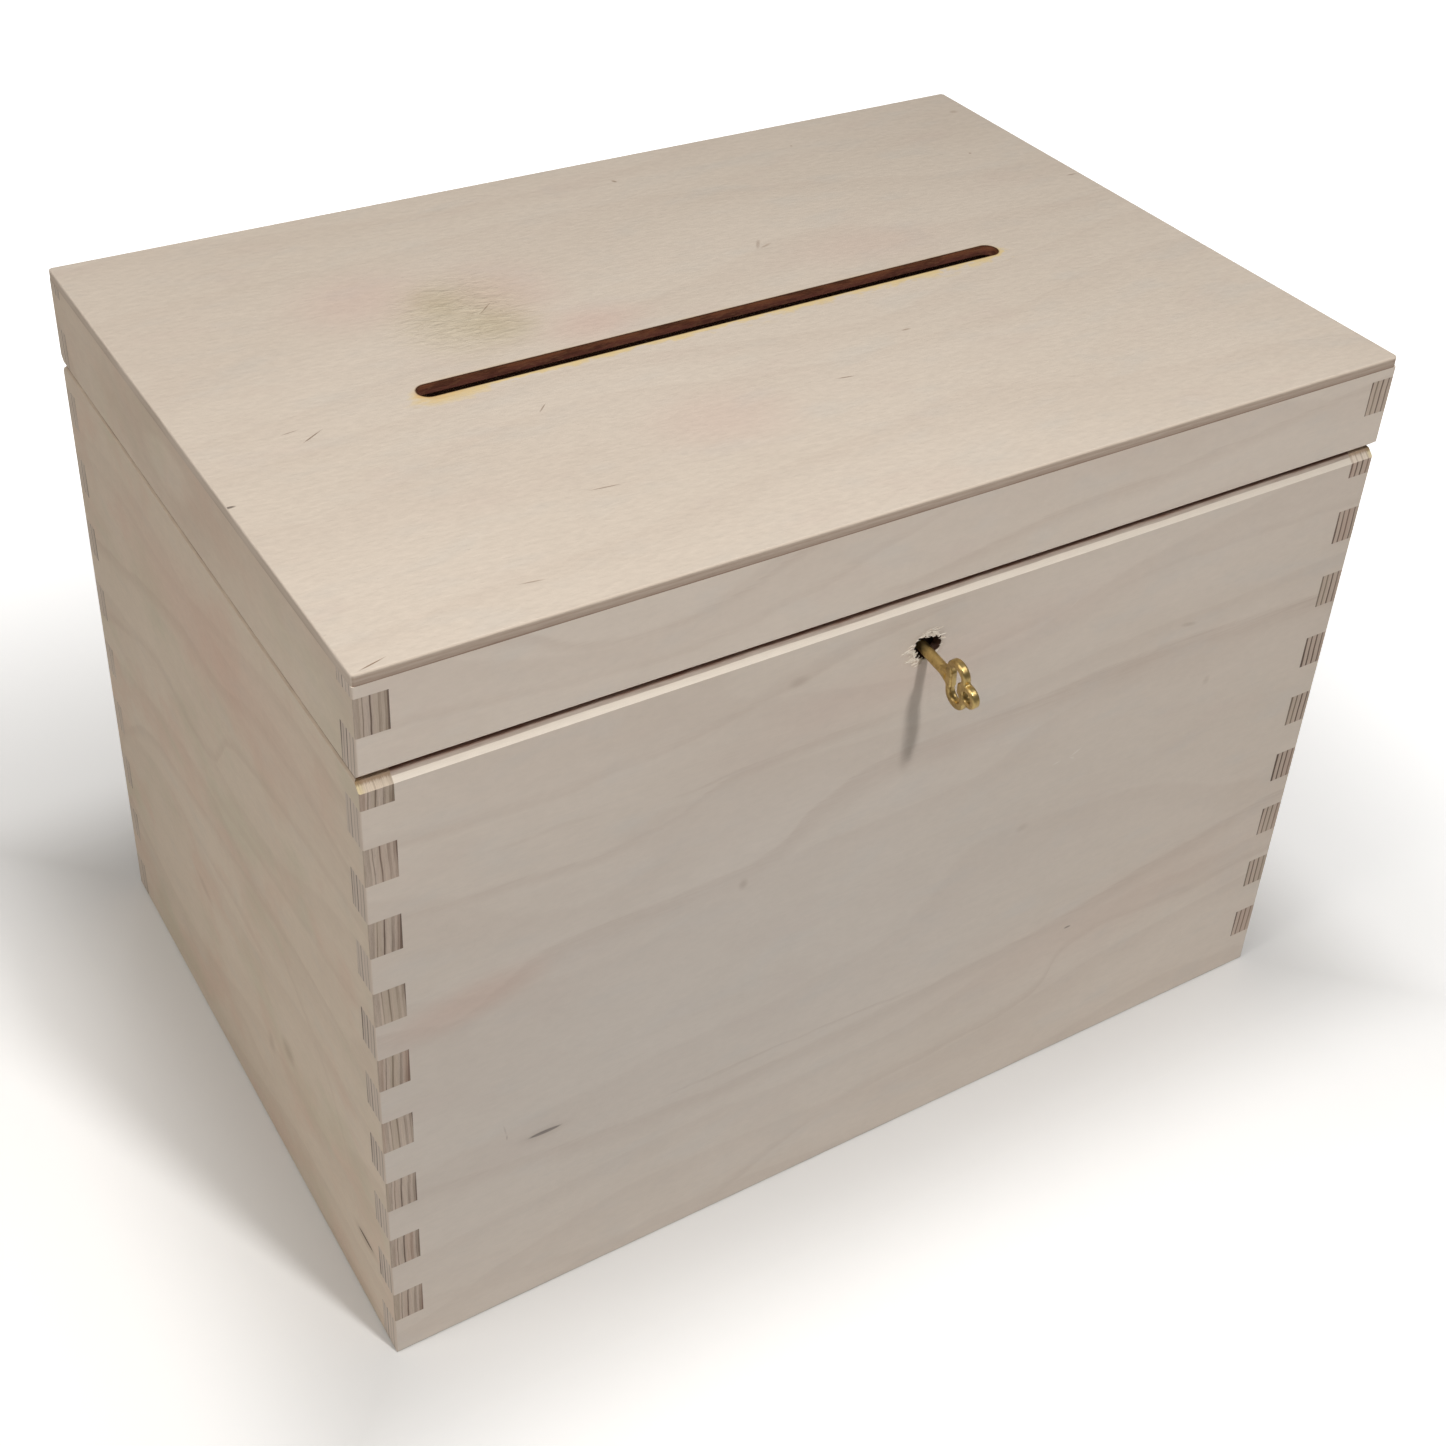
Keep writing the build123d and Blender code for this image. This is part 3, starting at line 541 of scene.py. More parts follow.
TOP_MARKS = [
    dict(at=(88.0, 131.5), r=(15.0, 17.0), c=KNOT, k=0.32, turn=-20, edge=0.75, rag=0.9),
    dict(at=(95.0, 122.0), r=(8.0, 8.0), c=lin(178, 162, 112), k=0.20, edge=0.8, rag=0.9),
    dict(at=(84.0, 142.0), r=(6.0, 7.0), c=lin(182, 166, 118), k=0.18, edge=0.8, rag=0.9),
    dict(at=(66.0, 151.0), r=(15.0, 12.0), c=FLUSH, k=0.34, turn=20, edge=0.9, rag=0.6),
    dict(at=(117.0, 112.0), r=(12.0, 8.0), c=FLUSH, k=0.42, turn=10, edge=0.9, rag=0.6),
    dict(at=(104.0, 140.0), r=(12.0, 14.0), c=FLUSH, k=0.26, turn=10, edge=0.9, rag=0.6),
    dict(at=(121.0, 54.0), r=(15.0, 11.0), c=FLUSH, k=0.26, turn=-6, edge=0.9, rag=0.6),
    dict(at=(210.0, 120.0), r=(20.0, 9.0), c=FLUSH, k=0.20, turn=-6, edge=0.9, rag=0.6),
    dict(at=(94.6, 132.0), r=(3.0, 0.15), c=BROWN, k=0.60, turn=42, edge=0.6, rag=1.4, h=-0.06),
    dict(at=(181.6, 133.6), r=(2.4, 0.5), c=BROWN, k=0.33, turn=55, edge=0.7, h=-0.04),
    dict(at=(183.2, 131.8), r=(1.8, 0.4), c=UMBER, k=0.38, turn=20, edge=0.7, h=-0.04),
    dict(at=(29.0, 90.9), r=(3.0, 0.18), c=BROWN, k=0.69, turn=32, edge=0.5, h=-0.10),
    dict(at=(25.0, 95.0), r=(2.0, 0.16), c=BROWN, k=0.44, turn=8, edge=0.6, h=-0.07),
    dict(at=(84.0, 78.4), r=(1.8, 0.18), c=BROWN, k=0.53, turn=45, edge=0.6, h=-0.08),
    dict(at=(80.0, 39.3), r=(3.2, 0.18), c=BROWN, k=0.53, turn=-6, edge=0.6, h=-0.08),
    dict(at=(160.0, 57.5), r=(2.0, 0.20), c=BROWN, k=0.62, turn=-10, edge=0.6, h=-0.08),
    dict(at=(189.4, 71.9), r=(1.2, 0.3), c=UMBER, k=0.53, edge=0.6, h=-0.05),
    dict(at=(47.6, 12.9), r=(2.4, 0.18), c=UMBER, k=0.53, turn=-8, edge=0.6, h=-0.07),
    dict(at=(5.4, 1.85), r=(2.9, 0.15), c=UMBER, k=0.90, turn=16, edge=0.5, rag=0.8, h=-0.07),
    dict(at=(165.6, 189.3), r=(0.5, 0.8), c=UMBER, k=0.62, turn=30, edge=0.6, h=-0.07),
    dict(at=(296.5, 133.0), r=(1.6, 0.25), c=BROWN, k=0.50, turn=-3, edge=0.6, h=-0.07),
    dict(at=(277.5, 160.0), r=(0.4, 0.4), c=UMBER, k=0.56, edge=0.6),
    dict(at=(229.0, 189.0), r=(0.4, 0.4), c=UMBER, k=0.44, edge=0.6),
    dict(at=(293.5, 190.0), r=(1.2, 0.9), c=UMBER, k=0.30, edge=0.8),
    dict(at=(0.8, 70.3), r=(1.2, 0.4), c=DARK, k=0.7, edge=0.5, h=-0.15),
]


def slot_burn(c, col, tone, height, rough):
    """The slot was burnt through by a laser: charred walls and a scorched halo, mostly on the front side."""
    t, U, Vv, W, face = c["t"], c["U"], c["V"], c["W"], c["face"]
    # the veneer is wrinkled over the knot: bumps, with the crease lines painted darker (painted shade) and the raised
    # ridges painted lighter (painted highlight)
    patch = oval(t, U, Vv, 88.0, 131.0, 17.0, 20.0, -20.0, 0.6, 0.8, c["m2"])
    w1 = t.noise(U * 0.16 + 2.0, Vv * 0.40 + U * 0.06, 6.0, 3.0, 0.55, 0.6)
    w2 = t.noise(U * 0.26 + 9.0, Vv * 0.62 - U * 0.12, 12.0, 3.0, 0.55, 0.5)
    crease_shade = ((w1 - 0.5).abs().ss(0.0, 0.022, 1.0, 0.0) * w2.ss(0.40, 0.62)).max(
        (w2 - 0.5).abs().ss(0.0, 0.020, 1.0, 0.0) * w1.ss(0.46, 0.66) * 0.8) * patch
    col = t.mix(crease_shade * 0.20, col, lin(158, 132, 92))
    # painted highlight on the raised side of the wrinkles
    col = t.mix((w1 - 0.5).ss(0.02, 0.16) * patch * 0.30, col, lin(236, 224, 200))
    height = height + ((w1 - 0.5) * 0.75 + (w2 - 0.5) * 0.35 - crease_shade * 0.04) * patch
    a = math.radians(0.76)
    x = U - 151.0
    y = Vv - 99.9
    p = x * math.cos(a) + y * math.sin(a)
    q = y * math.cos(a) - x * math.sin(a)
    px = (p.abs() - (91.4 - 3.35)).max(0.0)
    r = t.math("SQRT", px * px + q * q)
    d = r - 3.35
    n1 = t.noise(U * 0.11, Vv * 0.2, 3.0, 3.0, 0.65)
    n2 = t.noise(U * 0.9, Vv * 0.9, 9.0, 2.0, 0.6)
    side = q.ss(-2.2, 2.0, 1.0, 0.22)
    near_end = p.ss(-90.0, -70.0, 1.0, 0.0)
    reach = (n1.ss(0.38, 0.64) * 5.4 + near_end * 1.6 + 1.0) * side + 0.15
    h = t.math("DIVIDE", d, reach)
    halo = h.ss(0.0, 1.0, 1.0, 0.0) * (n2 * 0.5 + 0.65) * side
    col = t.mix(halo * 0.86, col, t.mix(near_end * 0.6 * h.ss(0.0, 0.5, 1.0, 0.0), lin(238, 210, 142), lin(228, 176, 92)))
    lip = d.ss(0.02, 0.38, 1.0, 0.0)
    col = t.mix(lip * (n2 * 0.6 + 0.35), col, lin(112, 70, 36))
    wall = d.below(0.25) * face.inv()
    smoke = t.noise(U * 0.10, Vv * 0.6, W * 0.55 + 3.0, 3.0, 0.6)
    soot = t.noise(U * 0.55, Vv * 0.55, W * 2.2, 3.0, 0.65)
    char = t.mix(W.ss(0.2, 2.6), lin(138, 84, 54), lin(114, 64, 52))
    char = t.mix(smoke.ss(0.40, 0.62) * 0.60, char, lin(70, 36, 24))
    char = t.mix(soot.ss(0.48, 0.66) * 0.45, char, lin(140, 98, 68))
    char = t.mix(W.ss(0.05, 0.45, 0.70, 0.0), char, lin(44, 22, 12))
    rays = t.noise(t.math("ARCTAN2", q, x + 88.0) * 4.5, W * 0.5, 2.0, 2.0, 0.6)
    char = t.mix(p.ss(-91.0, -88.5, 1.0, 0.0) * rays.ss(0.46, 0.62) * 0.75, char, lin(182, 150, 112))
    col = t.mix(wall, col, char)
    tone = tone * wall.inv() + wall
    height = height * wall.inv() + wall * ((soot - 0.5) * 0.10 + (smoke - 0.5) * 0.05)
    rough = rough + wall * 0.12
    return col, tone, height, rough


def keyhole_stain_and_edge_shade(c, col, tone, height, rough):
    """Soiled wood round the drilled keyhole, its dark brown wall, and painted shade that darkens the panel's cut edges
    towards the right.
    """
    t, U, Vv, W, face = c["t"], c["U"], c["V"], c["W"], c["face"]
    x = U - 149.5
    y = Vv - 179.25
    r = t.math("SQRT", x * x + y * y)
    ang = t.noise(x * 0.55, y * 0.55, 4.0, 3.0, 0.7)
    near = (r + (ang - 0.5) * 2.6).ss(4.4, 6.2, 1.0, 0.0) * c["outer"]
    col = t.mix(near * 0.16, col, UMBER)
    wall = r.below(4.62) * face.inv()
    wc = t.mix(c["strand"].ss(0.35, 0.7) * 0.6, lin(92, 58, 44), lin(52, 28, 20))
    col = t.mix(wall * 0.94, col, wc)
    height = height + near * (ang - 0.5) * 0.12
    # painted shade: the front panel's cut edges and chamfer darken towards the right, by up to 17 %
    tone = tone * (face.inv() * U.lr(60.0, 300.0, 0.0, 0.17)).inv()
    return col, tone, height, rough


MAT = {}
MAT["front_panel"] = plywood("ply_front", "front", 8.0, 1.3, END_8B, RIM_PLIES_GAP_SHADE, FRONT_LINES, FRONT_MARKS, keyhole_stain_and_edge_shade, tint=(248, 248, 250), ec=SIDE_END_C, floor_contact_shade=True, ease=False, streak=0.2)
MAT["lid_front_rail"] = plywood("ply_lid_front", "front", 8.0, 2.9, END_8B, RIM_PLIES_GAP_SHADE, FRAIL_LINES, tint=(252, 252, 254), ec=SIDE_END_C, ease=False, streak=0.2)
MAT["left_panel"] = plywood("ply_left", "left", 8.0, 4.1, END_8, SIDE_RIM_PLIES_GAP_SHADE, LEFT_LINES, LEFT_MARKS, tint=(250, 246, 240), blotch=0.55, floor_contact_shade=True, hues=0.30, grit=0.12)
MAT["lid_left_rail"] = plywood("ply_lid_left", "left", 8.0, 5.7, END_8, SIDE_RIM_PLIES_GAP_SHADE, tint=(250, 246, 241), blotch=0.40, hues=0.30, grit=0.12)
MAT["right_panel"] = plywood("ply_right", "right", 8.0, 6.6, END_8R, SIDE_RIM_PLIES_GAP_SHADE, rings=0.38, blotch=0.3, floor_contact_shade=True, hues=0.25, ec=RIGHT_END_C, streak=0.4)
MAT["lid_right_rail"] = plywood("ply_lid_right", "right", 8.0, 7.2, END_8R, SIDE_RIM_PLIES_GAP_SHADE, rings=0.38, hues=0.25, ec=RIGHT_END_C, streak=0.4)
MAT["back_panel"] = plywood("ply_back", "back", 8.0, 8.4, END_8B, RIM_PLIES_GAP_SHADE, rings=0.38, ec=SIDE_END_C, floor_contact_shade=True, ease=False, streak=0.2)
MAT["lid_back_rail"] = plywood("ply_lid_back", "back", 8.0, 9.9, END_8B, RIM_PLIES_GAP_SHADE, rings=0.38, ec=SIDE_END_C, ease=False, streak=0.2)
MAT["bottom_panel"] = plywood("ply_bottom", "bottom", 3.0, 12.2, EDGE_3, EDGE_3, rings=0.38, ec=TOP_END_C, rc=TOP_RIM_C, ease=False, streak=0.35)
MAT["lid_top_panel"] = plywood("ply_top", "top", 3.0, 15.8, EDGE_3, EDGE_3, (), TOP_MARKS, slot_burn, rings=0.10, tan=0.22, grit=0.18, nicks=1.0, ec=TOP_END_C, rc=TOP_RIM_C, ease=False, streak=0.35)


# ------------------------------------------------------------------
# metals
# ------------------------------------------------------------------
def metal(name, base, dark, rough, grain, seed, brush=None, tarnish=0.35, bump=0.04, metallic=1.0):
    """Cast, turned or rolled metal with patchy tarnish and fine scratches."""
    t = Tree(name)
    x, y, z = t.point()
    n1 = t.noise(x * 0.25 + seed, y * 0.25, z * 0.25, 3.0, 0.6)
    n2 = t.noise(x * grain + seed, y * grain, z * grain, 3.0, 0.6)
    n3 = t.noise(x * grain * 4.0, y * grain * 4.0, z * grain * 4.0 + seed, 2.0, 0.6)
    if brush == "x":
        s = t.noise(x * 0.5, y * 9.0, z * 9.0, 3.0, 0.6)
    elif brush == "z":
        s = t.noise(x * 9.0, y * 9.0, z * 0.5, 3.0, 0.6)
    else:
        s = n3
    tar = (n1.ss(0.40, 0.75) * 0.6 + n2.ss(0.5, 0.8) * 0.5) * tarnish
    col = t.mix(tar, base, dark)
    if name == "lock_steel":  # drilling dust and shadow lie on the case behind the keyhole
        r = t.math("SQRT", (x + 0.5) * (x + 0.5) + (z - 179.25) * (z - 179.25))
        col = t.mix(r.ss(4.2, 5.4, 1.0, 0.0) * y.below(-98.6) * 0.92, col, lin(56, 32, 24))
    t.set(Base_Color=col, Roughness=(n2 - 0.5) * 0.18 + (s - 0.5) * 0.16 + tar * 0.25 + rough,
          Normal=t.bump((n2 - 0.5) * 1.0 + (s - 0.5) * 0.7, 0.001 * bump, 1.0))
    t.bsdf.inputs["Metallic"].default_value = metallic
    return t.mat


KEY_BRASS = metal("key_brass", lin(204, 178, 118), lin(112, 84, 46), 0.33, 0.8, 2.0, None, 0.85, 0.030)
PLATE_BRASS = metal("plate_brass", lin(220, 190, 118), lin(158, 124, 66), 0.30, 1.0, 5.0, "x", 0.30, 0.03)
SCREW_BRASS = metal("screw_brass", lin(214, 182, 106), lin(140, 108, 56), 0.28, 1.6, 8.0, None, 0.35, 0.03)
STEEL = metal("lock_steel", lin(176, 174, 168), lin(112, 104, 94), 0.34, 1.1, 11.0, "z", 0.45, 0.03)

for n in ("lock_plate", "lid_hook_plate", "hinge_lower_leaf_left", "hinge_lower_leaf_right",
          "hinge_upper_leaf_left", "hinge_upper_leaf_right", "hinge_pin_left", "hinge_pin_right"):
    MAT[n] = PLATE_BRASS
for n in ("lock_screws", "hook_plate_screws", "hinge_lower_screws", "hinge_upper_screws"):
    MAT[n] = SCREW_BRASS
for n in ("lock_case", "lock_key_pin", "lock_guide_posts", "lock_spring", "lock_bolt"):
    MAT[n] = STEEL
MAT["key"] = KEY_BRASS

for n, ob in nodes.items():
    ob.data.materials.clear()
    ob.data.materials.append(MAT[n])


# ------------------------------------------------------------------
# the keyhole was drilled from inside and tore the face veneer: a ragged
# film is left over part of the hole and loose fibres stand up round it
# ------------------------------------------------------------------
FACE_Y = -102.5
HOLE = (-0.5, 179.25)
OPENING = [(-4.7, 179.6), (-4.2, 180.6), (-4.45, 181.3), (-3.75, 182.0), (-3.2, 183.0), (-2.8, 182.5), (-2.4, 182.6),
           (-2.0, 182.3), (-1.6, 182.75), (-1.1, 182.2), (-0.6, 182.1), (-0.1, 182.5), (0.4, 182.3), (0.8, 181.7),
           (1.3, 181.6), (1.7, 181.95), (2.1, 181.75), (2.5, 181.1), (2.9, 181.0), (3.3, 181.4), (3.6, 181.2),
           (4.05, 180.5), (3.7, 179.9), (4.4, 179.3), (4.0, 178.9), (4.0, 178.4), (4.4, 177.5), (3.5, 177.6),
           (2.9, 177.1), (2.3, 176.9), (2.05, 176.2), (1.6, 175.9), (1.0, 175.9), (0.5, 175.3), (0.2, 175.5),
           (-0.3, 174.95), (-0.7, 175.5), (-1.0, 175.4), (-1.45, 175.3), (-1.6, 176.2), (-2.1, 175.9), (-2.9, 176.0),
           (-2.5, 177.0), (-3.0, 177.0), (-3.6, 177.4), (-3.2, 178.2), (-3.8, 178.2), (-4.3, 178.5), (-3.9, 179.0)]
PUNCHED = [(-3.25, 176.95, 0.62, 0.50), (-0.07, 183.02, 0.95, 0.28), (-1.9, 175.55, 0.34, 0.30)]


def inside(p, poly):
    x, y = p
    hit = False
    for (x0, y0), (x1, y1) in zip(poly, poly[1:] + poly[:1]):
        if (y0 > y) != (y1 > y) and x < (x1 - x0) * (y - y0) / (y1 - y0) + x0:
            hit = not hit
    return hit


def torn_film():
    rnd = random.Random(11)
    R0 = 4.385
    ring = [(HOLE[0] + R0 * math.cos(k * math.tau / 72), HOLE[1] + R0 * math.sin(k * math.tau / 72)) for k in range(72)]
    edge = []
    for (x0, z0), (x1, z1) in zip(OPENING, OPENING[1:] + OPENING[:1]):
        edge.append((x0, z0))
        edge.append(((x0 + x1) / 2 + rnd.uniform(-0.14, 0.14), (z0 + z1) / 2 + rnd.uniform(-0.09, 0.09)))
    clipped = []
    for x, z in edge:
        r = math.hypot(x - HOLE[0], z - HOLE[1])
        k = min(1.0, (R0 - 0.02) / r)
        clipped.append((HOLE[0] + (x - HOLE[0]) * k, HOLE[1] + (z - HOLE[1]) * k))
    holes = [[(cx + rx * (1 + rnd.uniform(-0.2, 0.2)) * math.cos(k * math.tau / 11),
               cz + rz * (1 + rnd.uniform(-0.2, 0.2)) * math.sin(k * math.tau / 11)) for k in range(11)]
             for cx, cz, rx, rz in PUNCHED]
    loops = [ring, clipped] + holes
    pts, edges = [], []
    for lp in loops:
        o = len(pts)
        pts += [Vector(p) for p in lp]
        edges += [(o + i, o + (i + 1) % len(lp)) for i in range(len(lp))]
    for _ in range(260):
        a, r = rnd.uniform(0, math.tau), R0 * math.sqrt(rnd.uniform(0.1, 0.97))
        p = (HOLE[0] + r * math.cos(a), HOLE[1] + r * math.sin(a))
        if not inside(p, clipped) and not any(inside(p, h) for h in holes):
            pts.append(Vector(p))
    vs, _, fs, _, _, _ = delaunay_2d_cdt(pts, edges, [], 0, 1e-5)
    keep = []
    for f in fs:
        c = sum((vs[i] for i in f), Vector((0.0, 0.0))) / len(f)
        if math.hypot(c.x - HOLE[0], c.y - HOLE[1]) < R0 and not inside(c, clipped) and not any(inside(c, h) for h in holes):
            keep.append(tuple(f))
    bm = bmesh.new()
    near = [Vector(p) for p in clipped]

    def lift(v):
        r = math.hypot(v.x - HOLE[0], v.y - HOLE[1])
        if r > R0 - 0.01:
            return 0.0
        d = min((v - n).length for n in near)
        return max(0.0, 1.0 - d / 0.9) * rnd.uniform(-0.10, 0.26) * min(1.0, (R0 - r) / 0.35)

    lifts = [lift(v) for v in vs]
    top = [bm.verts.new((v.x / 1000, (FACE_Y - h) / 1000, v.y / 1000)) for v, h in zip(vs, lifts)]
    low = [bm.verts.new((v.x / 1000, (FACE_Y - h + 0.30) / 1000, v.y / 1000)) for v, h in zip(vs, lifts)]
    count = {}
    for f in keep:
        bm.faces.new([top[i] for i in f])
        bm.faces.new([low[i] for i in reversed(f)])
        for i in range(len(f)):
            a, b = f[i], f[(i + 1) % len(f)]
            count[(a, b)] = 1
    for a, b in list(count):
        if (b, a) not in count:
            bm.faces.new([top[b], top[a], low[a], low[b]])
    for v in [v for v in bm.verts if not v.link_faces]:
        bm.verts.remove(v)
    bmesh.ops.recalc_face_normals(bm, faces=bm.faces)
    return bm


def fibre(bm, x0, z0, x1, z1, width, raise0, raise1, bend, rnd):
    """A tapered fibre from (x0, z0), where it is rooted, to its loose end."""
    n = 7
    a, b = Vector((x0, 0, z0)), Vector((x1, 0, z1))
    along = (b - a).normalized()
    up = Vector((-along.z, 0, along.x))
    if up.z < 0:
        up = -up
    rows = []
    for i in range(n):
        k = i / (n - 1)
        w = width * (0.25 + 0.75 * math.sin(math.pi * min(1.0, 0.25 + 0.62 * k))) * (1.0 if k < 0.75 else max(0.10, (1 - k) * 4))
        h = raise0 + (raise1 - raise0) * k * k
        c = a + (b - a) * k + up * (bend * math.sin(math.pi * k) + rnd.uniform(-0.02, 0.02))
        base = FACE_Y + 0.03 - max(0.0, h - 0.02)
        pts = (c - up * w * 0.55, c + up * w * 0.45, c - up * w * 0.15)
        ys = (base, base, base - w * 0.55 - 0.03)
        rows.append([bm.verts.new((p.x / 1000, y / 1000, p.z / 1000)) for p, y in zip(pts, ys)])
    for r0, r1 in zip(rows, rows[1:]):
        for j in range(3):
            bm.faces.new([r0[j], r0[(j + 1) % 3], r1[(j + 1) % 3], r1[j]])
    bm.faces.new(rows[0])
    bm.faces.new(list(reversed(rows[-1])))


def torn_fibres():
    rnd = random.Random(23)
    bm = bmesh.new()
    # lower left of the hole, where most of the veneer came away
    for i in range(36):
        ang = math.radians(rnd.uniform(150, 262))
        r = rnd.uniform(4.0, 4.9)
        x0, z0 = HOLE[0] + r * math.cos(ang), HOLE[1] + r * math.sin(ang)
        ln = rnd.uniform(0.9, 3.8) * (1.0 if ang < math.radians(220) else 0.7)
        sl = rnd.uniform(-0.32, 0.18)
        fibre(bm, x0, z0, x0 - ln, z0 + ln * sl, rnd.uniform(0.14, 0.30), 0.02, rnd.uniform(0.02, 0.32), rnd.uniform(-0.18, 0.18), rnd)
    # over the top and to the right
    for i in range(16):
        ang = math.radians(rnd.uniform(8, 118))
        r = rnd.uniform(3.9, 4.9)
        x0, z0 = HOLE[0] + r * math.cos(ang), HOLE[1] + r * math.sin(ang)
        ln = rnd.uniform(0.8, 2.3)
        sl = rnd.uniform(-0.05, 0.30)
        fibre(bm, x0, z0, x0 + ln, z0 + ln * sl, rnd.uniform(0.12, 0.24), 0.02, rnd.uniform(0.02, 0.26), rnd.uniform(-0.12, 0.12), rnd)
    # short ends that hang over the opening
    for i in range(22):
        k = rnd.randrange(len(OPENING))
        (x0, z0) = OPENING[k]
        r0 = math.hypot(x0 - HOLE[0], z0 - HOLE[1])
        x0, z0 = HOLE[0] + (x0 - HOLE[0]) * min(1.0, 4.3 / r0), HOLE[1] + (z0 - HOLE[1]) * min(1.0, 4.3 / r0)
        s_ = 1.0 if x0 < HOLE[0] else -1.0
        ln = rnd.uniform(0.35, 0.95)
        if math.hypot(x0 + s_ * ln + 1.0, z0 - 178.5) < 2.3:
            continue
        fibre(bm, x0 - s_ * 0.5, z0, x0 + s_ * ln, z0 + rnd.uniform(-0.15, 0.15), rnd.uniform(0.12, 0.24), 0.04, rnd.uniform(0.02, 0.20), rnd.uniform(-0.08, 0.08), rnd)
    bmesh.ops.recalc_face_normals(bm, faces=bm.faces)
    return bm


def torn_wood():
    t = Tree("torn_veneer")
    x, y, z = t.point()
    n = t.noise(x * 0.6, y * 2.0, z * 5.0, 3.0, 0.65)
    m = t.noise(x * 1.4 + 5.0, y * 1.4, z * 1.4, 3.0, 0.6)
    col = t.mix(n.ss(0.35, 0.65), lin(244, 237, 225), lin(220, 206, 188))
    col = t.mix(m.ss(0.52, 0.72) * 0.55, col, lin(150, 122, 98))
    inner = (y + 102.5).ss(0.05, 0.25)
    col = t.mix(inner * 0.7, col, lin(110, 78, 58))
    t.set(Base_Color=col, Roughness=(n - 0.5) * 0.15 + 0.72, Normal=t.bump(n * 0.6 + m * 0.4, 0.00012, 1.0))
    t.bsdf.inputs["Specular IOR Level"].default_value = 0.3
    return t.mat


TORN = torn_wood()
for piece, bm in (("keyhole_torn_veneer", torn_film()), ("keyhole_loose_fibres", torn_fibres())):
    me = bpy.data.meshes.new(piece)
    bm.to_mesh(me)
    bm.free()
    me.materials.append(TORN)
    ob = bpy.data.objects.new(piece, me)
    bpy.context.scene.collection.objects.link(ob)
    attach(ob, "box")


# ------------------------------------------------------------------
# floor, light, camera
# ------------------------------------------------------------------
def floor_piece():
    bm = bmesh.new()
    s = 6.0
    vs = [bm.verts.new(c) for c in ((-s, -s, 0), (s, -s, 0), (s, s, 0), (-s, s, 0))]
    bm.faces.new(vs)
    me = bpy.data.meshes.new("floor")
    bm.to_mesh(me)
    bm.free()
    ob = bpy.data.objects.new("floor", me)
    bpy.context.scene.collection.objects.link(ob)
    t = Tree("floor_paint")
    x, y, z = t.point()
    n = t.noise(x * 0.01, y * 0.01, 0.0, 3.0, 0.5)
    # white paper that fades to a lit white sweep a hand's breadth from the box
    d = (x.abs() - 150.0).max(y.abs() - 102.5).max(0.0)
    t.set(Base_Color=t.mix(n, lin(238, 238, 237), lin(242, 242, 241)), Roughness=(n - 0.5) * 0.1 + 0.8)
    glow = t.nt.nodes.new("ShaderNodeEmission")
    seen = t.nt.nodes.new("ShaderNodeLightPath")
    t.put(glow.inputs[1], (d.ss(0.0, 60.0) * 0.30 + d.ss(20.0, 330.0) * 0.70) * V(t, seen.outputs["Is Camera Ray"]))
    add = t.nt.nodes.new("ShaderNodeAddShader")
    t.nt.links.new(t.bsdf.outputs[0], add.inputs[0])
    t.nt.links.new(glow.outputs[0], add.inputs[1])
    t.nt.links.new(add.outputs[0], t.out.inputs[0])
    me.materials.append(t.mat)
    return ob


floor_piece()


def area(name, at, look, size, power, colour=(1.0, 1.0, 1.0), size_y=None):
    d = bpy.data.lights.new(name, "AREA")
    d.energy = power
    d.color = colour
    d.shape = "RECTANGLE" if size_y else "DISK"
    d.size = size
    if size_y:
        d.size_y = size_y
    o = bpy.data.objects.new(name, d)
    bpy.context.scene.collection.objects.link(o)
    o.location = at
    v = Vector(look) - Vector(at)
    o.rotation_euler = v.to_track_quat("-Z", "Y").to_euler()
    return o


# the main lamp, high in front and a touch to the right
area("main", (0.047, -0.66, 1.0), (0.0, 0.0, 0.15), 0.10, 5.2, (1.0, 0.99, 0.985))
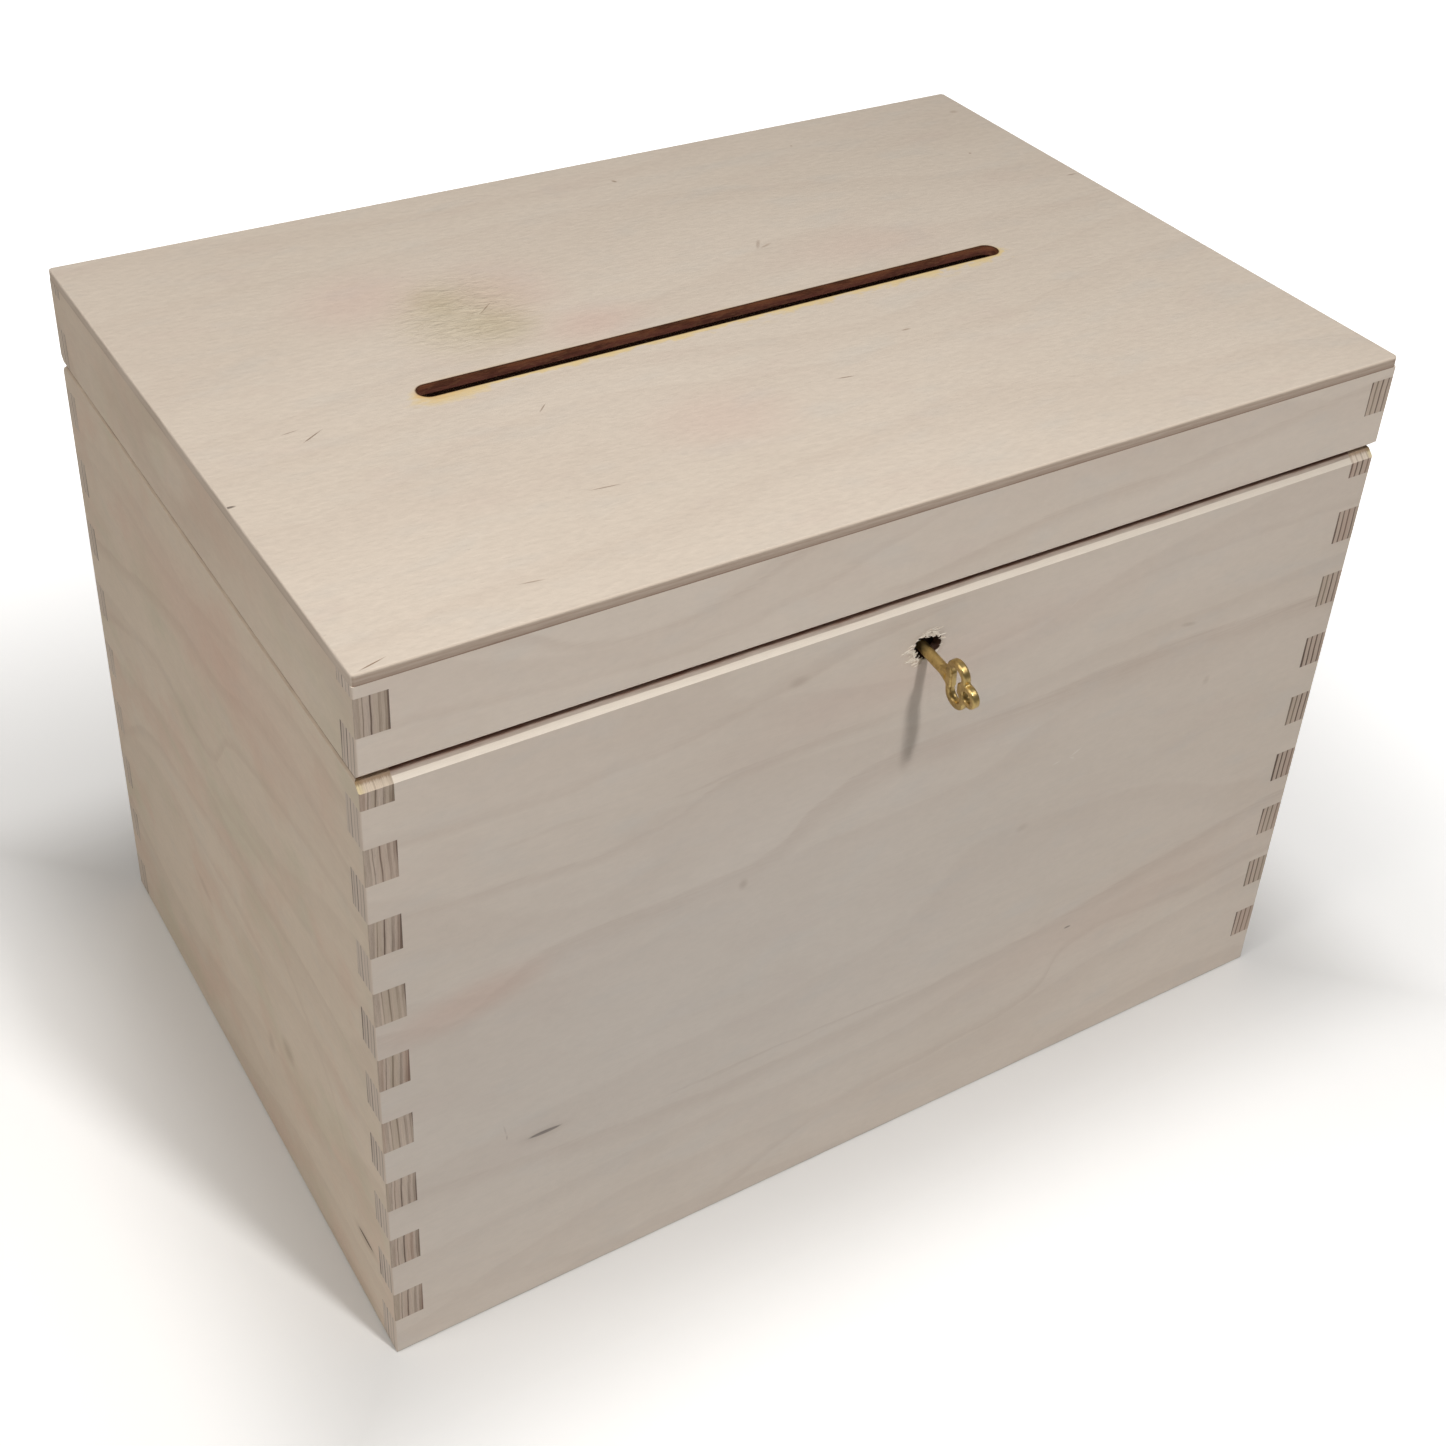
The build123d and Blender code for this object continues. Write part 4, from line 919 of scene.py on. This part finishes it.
# a wide soft source overhead, stronger at the near left of the lid
area("over", (-0.19, -0.13, 0.86), (-0.12, -0.05, 0.22), 0.42, 1.26, (1.0, 0.97, 0.93))
# warmer light on the left side
area("side", (-0.9, -0.1, 0.75), (0.0, 0.0, 0.1), 0.5, 2.35, (1.0, 0.945, 0.885))

# low fills for the back and the right side, below the height of the lid
area("back_fill", (0.22, 0.95, 0.12), (0.0, 0.10, 0.11), 0.18, 1.0, (1.0, 0.985, 0.97))
area("right_fill", (1.05, 0.02, 0.12), (0.15, 0.02, 0.11), 0.18, 1.1, (1.0, 0.985, 0.97))

# what little light finds its way into the shut box, warm from the wood
glow = bpy.data.lights.new("inside", "POINT")
glow.energy = 0.002
glow.color = (1.0, 0.50, 0.42)
glow.shadow_soft_size = 0.03
glow_at = bpy.data.objects.new("inside", glow)
bpy.context.scene.collection.objects.link(glow_at)
glow_at.location = (0.0, 0.0, 0.12)

w = bpy.data.worlds.new("room")
w.use_nodes = True
bg = w.node_tree.nodes["Background"]
bg.inputs[0].default_value = (1.0, 0.975, 0.94, 1.0)
bg.inputs[1].default_value = 0.137
bpy.context.scene.world = w

IMG = 1446.0
F_PX, CX, CY = 2066.657535774603, 722.475897043777, 580.4529220310856
RV = Vector((2.1225640450707735, -0.5702171300127549, 0.3627377207228576))
TV = Vector((-0.28465311560796247, 0.6763667499046966, 1.8091840740591203))
R = Matrix.Rotation(RV.length, 3, RV.normalized())
eye = -(R.transposed() @ TV) * 0.3 - Vector((0.150, 0.1025, 0.0))
cam_data = bpy.data.cameras.new("photo_camera")
cam_data.sensor_width = 36.0
cam_data.lens = F_PX / IMG * 36.0
cam_data.shift_x = (IMG / 2 - CX) / IMG
cam_data.shift_y = (CY - IMG / 2) / IMG
cam = bpy.data.objects.new("photo_camera", cam_data)
bpy.context.scene.collection.objects.link(cam)
cam.matrix_world = Matrix.Translation(eye) @ (R.transposed() @ Matrix.Diagonal((1, -1, -1))).to_4x4()
cam_data.clip_end = 50.0
bpy.context.scene.camera = cam
bpy.context.scene.view_settings.view_transform = "Standard"
bpy.context.scene.view_settings.look = "None"
